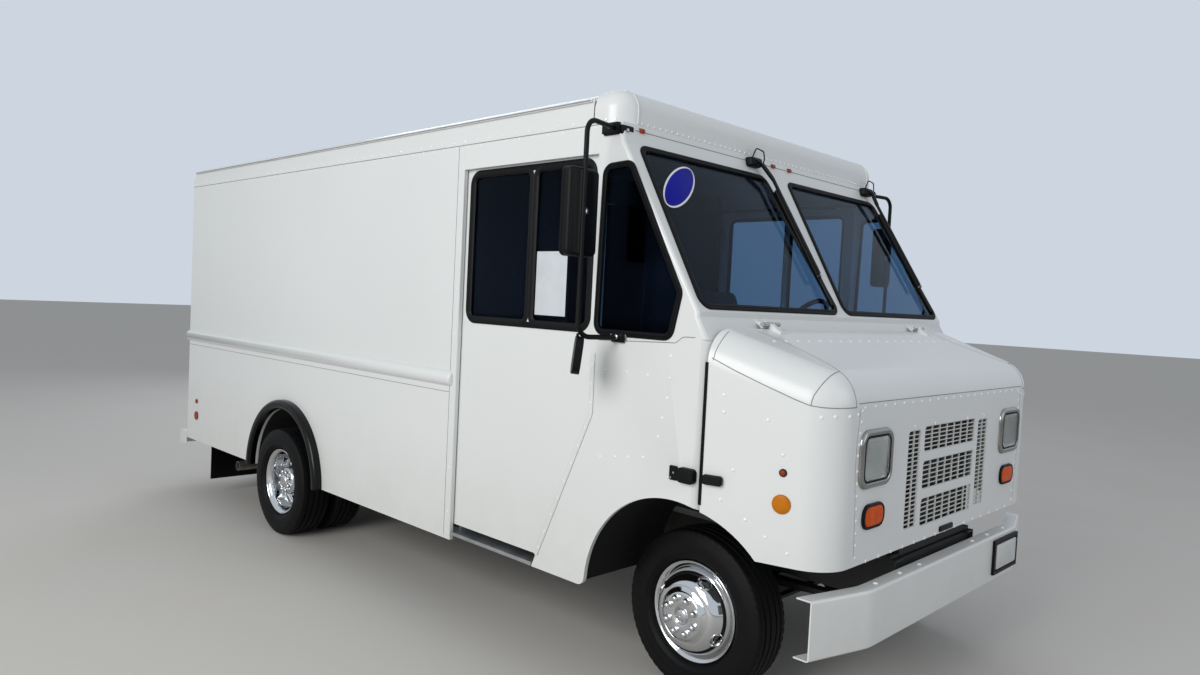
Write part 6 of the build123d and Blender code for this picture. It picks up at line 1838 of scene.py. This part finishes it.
@dataclass
class RunningGear(SubAssembly):
    """Wheels, tyres, chassis and what hangs from it."""

    front_x: float = 802.0
    front_y: float = -2297.0
    front_pitch: float = 173.0
    rear_x: float = 1130.0
    rear_y: float = 1089.0
    rear_pitch: float = 154.0
    rear_block: tuple = (126.0, 180.0)
    twin: float = 262.0
    hole_turn: float = 26.0
    sheet: float = 1.4
    nut_count: int = 8
    shoulder_slots: int = 60
    slot_samples: int = 4
    slot_depth: float = 3.0

    def front_profile(self) -> Array:
        """Gives the front wheel's face from lip to centre, as radius and distance out.

        Between 126 and 196 mm the dome is a + b (1 - t^2)^0.75, with t from 0 at its crown to 1 at its foot.
        """
        crown, foot, low, high = 125, 196, 64, 88
        lip = [
            (227.5, 70), (228.5, 77), (227, 82), (223.5, 84.5), (219.5, 84), (215.5, 80),
            (209, 74), (203, 69.5), (199.5, 66), (197, 64.5),
        ]
        outer = [195.5, 194, 191.5, 188, 184, 179.5, 174.5, 169]
        inner = [163, 157, 151, 146, 141, 136, 131, 127]
        radial = np.array(outer + inner)
        t = (radial - crown) / (foot - crown)
        dome = np.stack([radial, low + high * (1 - t**2) ** 0.75], 1)
        hub = [
            (124.5, 152.3), (123, 149), (120.5, 149), (119, 153.5), (116.5, 154.5), (115, 151.3),
            (112.5, 151.5), (111, 157.5), (108, 162), (104.5, 166), (101, 168.6), (96, 169.8),
            (60, 170), (44, 170), (41, 168.5), (38.5, 162), (36, 160), (33, 161.5),
            (30, 167.5), (25, 171.5), (16, 174), (7, 175), (1, 175.2),
        ]
        return np.concatenate([lip, dome, hub])

    def rear_profile(self) -> Array:
        """Gives the rear wheel's deep dish from lip to hub, as radius and distance out."""
        lip = [
            (227.5, 70), (228.5, 77), (227, 82), (223.5, 84.5), (219.5, 84), (215, 79),
            (207, 71), (200, 66), (196, 60), (194.5, 52),
        ]
        wall = [(193.8, 36), (193.5, 18), (193.5, 0), (193.8, -18), (193.5, -32), (191, -40)]
        floor = [
            (186, -44), (180, -45.5), (172, -45.5), (164, -45.3), (154, -45), (144, -45),
            (134, -45), (126, -45.3), (120, -45),
        ]
        hub = [
            (114.5, -42), (111.5, -34), (107, -16), (101, 6), (95, 28), (91, 39),
            (87, 44), (82, 46), (58, 46.5), (50, 47), (46, 50), (44, 60), (41, 67),
            (35, 70.5), (20, 72), (1, 72.5),
        ]
        return np.concatenate([lip, wall, floor, hub])

    def tyre_section(self) -> Array:
        """Gives the tyre's closed outer section: bead, bulged sidewall with rings, and a grooved tread."""
        sidewall = [
            (66, 205), (68, 212), (70.5, 226), (75, 231), (88, 236.5), (97, 243),
            (103, 252), (107, 258), (109.5, 259), (110.5, 263), (109.5, 267), (111, 278),
            (112, 292), (111.5, 306), (110, 312), (111, 315), (109.5, 320), (106, 332),
        ]
        tread = [
            (102.5, 343), (99.5, 352), (96, 359.5), (92, 363), (84, 364.8), (76, 365.6),
            (63, 366.6), (61.5, 358), (54.5, 358), (53, 367), (40, 367.5), (26, 367.8),
            (24.5, 358.5), (17.5, 358.5), (16, 368), (6, 368),
        ]
        half = np.array(sidewall + tread)
        return np.concatenate([half, half[::-1] * np.array([-1, 1])])

    def tyre(self, name: str, axle: Axle, body: str, *stands_for: str) -> None:
        """Builds a tyre, with short slots across both shoulders.

        The section is turned round the axle. One sample in each pitch is sunk between the shoulder's radii.

        Args:
            name: The piece's name.
            axle: The wheel's place.
            body: The CAD body that carries it.
            stands_for: CAD nodes that it replaces.
        """
        section = self.tyre_section()
        count = self.shoulder_slots * self.slot_samples
        cut = np.arange(count) % self.slot_samples == 0
        shoulder = (np.abs(section[:, 0]) > 70) & (section[:, 1] > 345)
        points, faces = axle.turned(section, count, self.slot_depth * (cut[:, None] & shoulder[None]))
        self.shop.mesh(name, points, faces, TYRE_RUBBER, body, *stands_for, sharp=32)

    def face(self, name: str, dish: Dish, body: str) -> None:
        """Builds a wheel's pressed face, with the thickness of its sheet inwards from its outer side.

        Args:
            name: The piece's name.
            dish: The face's shape.
            body: The CAD body that carries it.
        """
        points, faces = dish.points_and_faces()
        piece = self.shop.mesh(name, points, faces, CHROME, body, sharp=38, weld=True)
        sheet = piece.modifiers.new("sheet", "SOLIDIFY")
        sheet.thickness = self.sheet * MM
        sheet.offset = -1

    def nuts(self, name: str, axle: Axle, out: float, ring: float, body: str) -> None:
        """Sets domed nut covers in a circle on the hub's face.

        Args:
            name: The piece's name.
            axle: The wheel's place.
            out: Distance of the hub's face along the axle.
            ring: Radius of the circle.
            body: The CAD body that carries them.
        """
        count = self.nut_count
        turn = math.pi / count + full_turn(count)
        seats = axle.at(out, ring, turn)
        foot = [(17.5, -1), (17.5, 2.5), (14.5, 4.5), (14.5, 15)]
        head = foot + [(13.5, 18.5), (11, 21.5), (7, 23.6), (2, 24.4)]
        self.shop.caps(name, seats, (axle.side, 0, 0), head, CHROME, body, sides=20, sharp=50)

    def build(self) -> None:
        """Dresses wheels and underside."""
        low, high = self.rear_block
        for name, side in SIDES:
            self.skins(CHROME, f"rim_front_{name}", f"rims_rear_{name}", sharp=30)
            self.skins(CHASSIS_PAINT, f"knuckle_{name}", bevel=1)
            front, body = Axle(side, self.front_x, self.front_y), f"wheel_front_{name}"
            dish = Dish(front, self.front_profile(), self.front_pitch, self.hole_turn)
            self.face(f"front_wheel_face_{name}", dish, body)
            self.nuts(f"front_nuts_{name}", front, 169.5, 78, body)
            self.tyre(f"front_tyre_{name}", front, body, f"tyre_front_{name}")
            rear, body = Axle(side, self.rear_x, self.rear_y), f"wheels_rear_{name}"
            profile = self.rear_profile()
            dish = Dish(rear, profile, self.rear_pitch, self.hole_turn, block_low=low, block_high=high)
            self.face(f"rear_wheel_face_{name}", dish, body)
            self.nuts(f"rear_nuts_{name}", rear, 46, 66, body)
            self.tyre(f"rear_tyre_outer_{name}", rear, body, f"tyres_rear_{name}")
            inner = Axle(side, self.rear_x - self.twin, self.rear_y)
            self.tyre(f"rear_tyre_inner_{name}", inner, body, f"tyres_rear_{name}")
        self.skins(CHASSIS_PAINT, "chassis_frame", "springs", "front_axle", "rear_axle", "fuel_tank")
        self.skins(CAST_IRON, "engine", bevel=4)
        self.skins(CAST_IRON, "radiator", bevel=1)
        self.skins(EXHAUST_STEEL, "exhaust")


@dataclass
class Fittings(SubAssembly):
    """Mirrors, wipers, lamps of the body and small hardware."""

    body_x: float = 1188.0
    rear_y: float = 2914.0
    arm_x: float = 1400.0
    arm_y: float = -2000.0
    arm_z: float = 2495.0
    foot_z: float = 1578.0
    head_x: float = 1388.0
    head_z: float = 2105.0
    glass_wide: float = 176.0
    glass_high: float = 374.0
    wiper_places: tuple = (("right", -205.0, -108.0), ("left", 1020.0, 1062.0))
    motor_y: float = -2003.0
    motor_z: float = 2488.0
    lamp_out: float = 985.0
    lamp_radius: float = 60.0
    lamp_levels: tuple = (620, 740, 860)
    hinge_x: float = 808.0
    hinge_levels: tuple = (900.0, 940.0, 1560.0, 1600.0, 2220.0, 2260.0)

    def build(self) -> None:
        """Dresses the small parts."""
        for name, side in SIDES:
            self.skins(BLACK_ABS, f"mirror_{name}", sharp=40)
            self.mirror(name, side)
            self.mirror_mounts(name, side)
            self.rear_hardware(name, side)
        for name, pivot, blade in self.wiper_places:
            self.wiper(name, pivot, blade)
        self.skins(MARKER_LENS, "marker_lamps", bevel=2)
        self.skins(RED_LENS, "tail_lamps", bevel=4)

    def mirror(self, name: str, side: float) -> None:
        """Adds a mirror's glass and rim, its clamp and the bolts of its arms.

        Args:
            name: The side's name.
            side: Its sign along X.
        """
        x, y = side * self.arm_x, self.arm_y
        back = rear_face(y + 58)
        glass = rounded_rectangle((-side * self.head_x, self.head_z), self.glass_wide, self.glass_high, 28)
        # The outline starts at its upper corner, which sets how the flat glass is cut into triangles
        glass = np.roll(glass, len(glass) // 2, axis=0)
        rings = [(9, -2), (9, 1), (11, 1.6)]
        self.shop.moulding(f"mirror_glass_{name}", glass, back, rings, REFLECTOR, "body")
        rings = [(-1.5, -10), (-1.5, 1), (2, 4), (7, 3), (8.5, 0)]
        self.shop.moulding(f"mirror_rim_{name}", glass, back, rings, BLACK_ABS, "body")
        clamp = [(20, -2), (20, 4), (17, 7), (9, 8), (9, 12), (6, 13)]
        seat = (x - side * 12, y + 3, self.head_z)
        self.shop.caps(f"mirror_clamp_{name}", seat, (0, -1, 0), clamp, STAINLESS, "body", sides=24)
        seats = [(side * 1203, y + 60, self.arm_z + 6), (side * 1203, y - 45, self.foot_z + 4)]
        bolt = [(11, -2), (11, 8), (8, 11), (3, 12)]
        self.shop.caps(f"mirror_bolts_{name}", seats, (side, 0, 0), bolt, STAINLESS, "body", sides=12)

    def mirror_mounts(self, name: str, side: float) -> None:
        """Adds the plates under a mirror's two feet, and the stay of its spot mirror.

        Args:
            name: The side's name.
            side: Its sign along X.
        """
        x, y, face = side * self.arm_x, self.arm_y, side_face(side, self.body_x)
        arm, foot = self.arm_z, self.foot_z
        rings = [(0, -1), (0, 7), (2, 9)]
        corners = [(y + 106, arm - 30), (y + 106, arm + 8), (y + 12, arm + 12), (y + 12, arm - 30)]
        plate = side_outline(side, corners, 8)
        self.shop.moulding(f"mirror_arm_plate_{name}", plate, face, rings, BLACK_ABS, "body")
        angle = rounded_rectangle((side * 1152, arm - 8), 78, 40, 6)
        self.shop.moulding(f"mirror_arm_angle_{name}", angle, front_face(-1992), rings, BLACK_ABS, "body")
        bolt, seat = [(10, -2), (10, 7), (7, 10), (3, 11)], (side * 1158, y, arm - 10)
        self.shop.caps(f"mirror_arm_bolt_{name}", seat, (0, -1, 0), bolt, STAINLESS, "body", sides=6)
        corners = [(y + 4, foot - 15), (y + 4, foot + 18), (y - 92, foot + 18), (y - 92, foot - 15)]
        plate = side_outline(side, corners, 8)
        self.shop.moulding(f"mirror_foot_plate_{name}", plate, face, rings, STAINLESS, "body")
        route = [
            (x, y, foot + 12),
            (x + side * 14, y - 30, foot - 30),
            (x + side * 16, y - 26, foot - 120),
            (x - side * 4, y + 10, foot - 150),
        ]
        self.shop.tube(f"spot_stay_{name}", rounded_path(route, 26), 6, BLACK_ABS, "body")

    def wiper(self, name: str, pivot: float, blade: float) -> None:
        """Builds a wiper: motor cover, tapered channel arm, and blade with its rubber.

        The arm leaves the cover, turns down over the glass and tapers towards the blade's middle.

        Args:
            name: The wiper's side.
            pivot: X of its motor.
            blade: X of its arm over the glass.
        """
        shop, glass = self.shop, windshield_face()
        out = glass.out()
        cover = rounded_rectangle((pivot, self.motor_z), 96, 50, 14)
        rings = [(0, -4), (0, 26), (5, 36), (12, 41), (20, 42)]
        plane = front_face(self.motor_y)
        shop.moulding(f"wiper_motor_{name}", cover, plane, rings, BLACK_ABS, "body", "wipers")
        root = np.array([pivot + 40, -2040, self.motor_z - 4])
        knee, elbow = glass.at(np.array([blade, -60]), 40), glass.at(np.array([blade, -640]), 36)
        path = rounded_path([root, knee, elbow], 60)
        size = np.linspace(1, 0.75, len(path))
        side = np.array([(-17, -4), (-17, 5), (-9, 10)])
        section = np.concatenate([side, side[::-1] * np.array([-1, 1])])
        shop.beam(f"wiper_arm_{name}", path, section, size, out, BLACK_ABS, "body", "wipers")
        ends = glass.at(np.array([(blade + 20, -110), (blade + 20, -800)]), 16)
        line = spread(ends[0], ends[1], 60)
        spine = np.array([(-12, 2), (-9, 9), (0, 12), (9, 9), (12, 2)])
        shop.beam(f"wiper_blade_{name}", line, spine, 1, out, BLACK_ABS, "body", "wipers")
        rubber = np.array([(-5, 3), (5, 3), (1.5, -15), (-1.5, -15)])
        shop.beam(f"wiper_rubber_{name}", line, rubber, 1, out, SEAL_RUBBER_AND_GAP_SHADE, "body", "wipers")
        pin = [(9, -12), (9, 8), (6, 10)]
        shop.caps(f"wiper_pin_{name}", elbow, out, pin, STAINLESS, "body", sides=12)
        loop = [
            (pivot - 34, -2030, 2506), (pivot - 8, -2034, 2560), (pivot + 62, -2034, 2552),
            (pivot + 78, -2030, 2510), (pivot + 52, -2034, 2484),
        ]
        shop.tube(f"wiper_pipe_{name}", rounded_path(loop, 20), 3.5, SEAL_RUBBER_AND_GAP_SHADE, "body", sides=8)

    def rear_hardware(self, name: str, side: float) -> None:
        """Adds the tail lamps' rubber rings and the rear doors' hinge bolts.

        Args:
            name: The side's name.
            side: Its sign along X.
        """
        turn = full_turn(48)
        circle = self.lamp_radius * np.stack([np.cos(turn), np.sin(turn)], 1)
        rings = [(0, -1), (0, 4), (3, 8), (7, 8), (9, 4), (9, -1)]
        face = rear_face(self.rear_y)
        for level in self.lamp_levels:
            ring, title = circle + np.array([-side * self.lamp_out, level]), f"lamp_ring_{name}_{level}"
            self.shop.moulding(title, ring, face, rings, SEAL_RUBBER_AND_GAP_SHADE, "body", closed=True)
        seats = column(side * self.hinge_x, self.rear_y + 10, self.hinge_levels)
        bolt = [(8, -3), (8, 3), (5, 5.5)]
        self.shop.caps(f"hinge_bolts_{name}", seats, (0, 1, 0), bolt, STAINLESS, "body")


@dataclass
class Cab(SubAssembly):
    """The cab's inside, seen through its glass: seat, wheel, dashboard and engine cover."""

    seat_x: float = 620.0
    seat_y: float = -1480.0

    def build(self) -> None:
        """Dresses the cab's inside."""
        self.skins(CAB_ABS, "dashboard", bevel=6)
        self.skins(CAB_ABS, "engine_cover", bevel=3)
        self.skins(CAB_ABS, "steering_wheel", sharp=60)
        self.seat()

    def seat(self) -> None:
        """Builds the driver's seat: a moulded pedestal, a cushion and a back, both padded."""
        x, y = self.seat_x, self.seat_y
        level = Face((0, 0, 0), (1, 0, 0), (0, 1, 0))
        foot = rounded_rectangle((x, y), 300, 340, 40)
        rings = [(0, 741), (12, 760), (20, 900), (20, 1040), (0, 1100), (-30, 1128)]
        self.shop.moulding("seat_pedestal", foot, level, rings, CAB_ABS, "body", "driver_seat")
        for name, centre, size, lean in (
            ("seat_cushion", (x, y, 1190), (476, 476, 112), 0),
            ("seat_back", (x, y + 245, 1552), (460, 96, 610), -6.4),
        ):
            pad = self.shop.cushion(name, centre, size, lean, SEAT_CLOTH, "body", "driver_seat")


# Studio


@dataclass
class Studio:
    """Pale floor, soft lamps and the camera at the photograph's viewing angle.

    Each lamp has a name, its place in millimetres, its size in metres, its power in watts and its tint.
    """

    camera_at: tuple[float, float, float] = (-3888.0, -4555.0, 1731.0)
    yaw: float = 45.777
    pitch: float = -2.431
    roll: float = 2.825
    lens: float = 25.35
    clip: float = 200.0
    sky: str = "#E9EDF2"
    sky_strength: float = 0.5
    background: str = "#CDD6E0"
    floor_reach: float = 60.0
    floor_colour: str = "#C4C2BE"
    floor_mottle: str = "#C3BFB8"
    aim: tuple[float, float, float] = (0.0, 0.0, 1.0)
    lamps: tuple = (
        ("key", (-9500.0, -2600.0, 4700.0), 5.0, 560.0, "#FFFEFB"),
        ("front", (1500.0, -9500.0, 4200.0), 5.0, 100.0, "#F4F7FF"),
        ("rear", (5500.0, 7500.0, 5200.0), 5.0, 260.0, "#F4F7FF"),
    )

    def set_camera(self) -> None:
        """Stands the camera with the yaw, pitch and roll that the photograph's lines give."""
        yaw, pitch, roll = (math.radians(a) for a in (self.yaw, self.pitch, self.roll))
        ahead = np.array([math.sin(yaw) * math.cos(pitch), math.cos(yaw) * math.cos(pitch), math.sin(pitch)])
        level = unit(np.cross(ahead, [0.0, 0.0, 1.0]))
        above = np.cross(level, ahead)
        right = level * math.cos(roll) + above * math.sin(roll)
        up = -level * math.sin(roll) + above * math.cos(roll)
        data = bpy.data.cameras.new("view")
        data.lens = self.lens
        data.sensor_width = 36.0
        data.clip_end = self.clip
        camera = add_object("view", data)
        turn = Matrix([[right[k], up[k], -ahead[k]] for k in range(3)]).to_4x4()
        camera.matrix_world = Matrix.Translation(Vector(self.camera_at) * MM) @ turn
        bpy.context.scene.camera = camera

    def set_lamps(self) -> None:
        """Hangs large soft lamps that face the truck's middle."""
        for name, place, size, watts, tint in self.lamps:
            data = bpy.data.lights.new(name, "AREA")
            data.size = size
            data.energy = watts
            data.color = linear(tint)[:3]
            lamp = add_object(name, data)
            ahead = Vector(self.aim) - Vector(place) * MM
            turn = ahead.to_track_quat("-Z", "Y").to_matrix().to_4x4()
            lamp.matrix_world = Matrix.Translation(Vector(place) * MM) @ turn

    def set_world(self) -> None:
        """Lights the scene with an even pale sky, and shows the camera a plain background."""
        world = bpy.data.worlds.new("pale_room")
        world.use_nodes = True
        tree = world.node_tree
        tree.nodes.clear()
        path = add_node(tree, "ShaderNodeLightPath")
        shine = path.outputs["Is Camera Ray"]
        for ray in ("Is Transmission Ray", "Is Glossy Ray"):
            either = add_node(
                tree, "ShaderNodeMath", {"operation": "MAXIMUM"}, {0: shine, 1: path.outputs[ray]}
            )
            shine = either.outputs[0]
        sky, strength = linear(self.sky), self.sky_strength
        light = add_node(tree, "ShaderNodeBackground", {"Color": sky, "Strength": strength})
        plain = linear(self.background)
        shown = add_node(tree, "ShaderNodeBackground", {"Color": plain, "Strength": 1.0})
        mixed = add_node(
            tree, "ShaderNodeMixShader", links={0: shine, 1: light.outputs[0], 2: shown.outputs[0]}
        )
        add_node(tree, "ShaderNodeOutputWorld", links={"Surface": mixed.outputs[0]})
        bpy.context.scene.world = world

    def set_floor(self) -> None:
        """Lays a wide pale floor at ground level."""
        mesh = bpy.data.meshes.new("floor")
        reach = self.floor_reach
        corners = [(-reach, -reach, 0.0), (reach, -reach, 0.0), (reach, reach, 0.0), (-reach, reach, 0.0)]
        mesh.from_pydata(corners, [], [(0, 1, 2, 3)])
        floor = add_object("floor", mesh)
        paint = Finish(
            "floor_paint", self.floor_colour, roughness=0.75, mottle=self.floor_mottle, mottle_mm=900.0
        )
        mesh.materials.append(paint.material())

    def build(self) -> None:
        """Sets camera, lamps, world and floor."""
        self.set_camera()
        self.set_lamps()
        self.set_world()
        self.set_floor()
        bpy.context.scene.view_settings.view_transform = "Standard"


def main() -> None:
    """Builds the truck's pieces in order, then the studio."""
    logging.basicConfig(level=logging.INFO, format="%(message)s")
    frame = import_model()
    shop = Workshop(frame)
    for kind in (Shell, Windows, Nose, RunningGear, Fittings, Cab):
        before = shop.count
        kind(shop).build()
        LOG.info("%s: %d pieces", kind.__name__, shop.count - before)
    Studio().build()


if __name__ == "__main__":
    main()
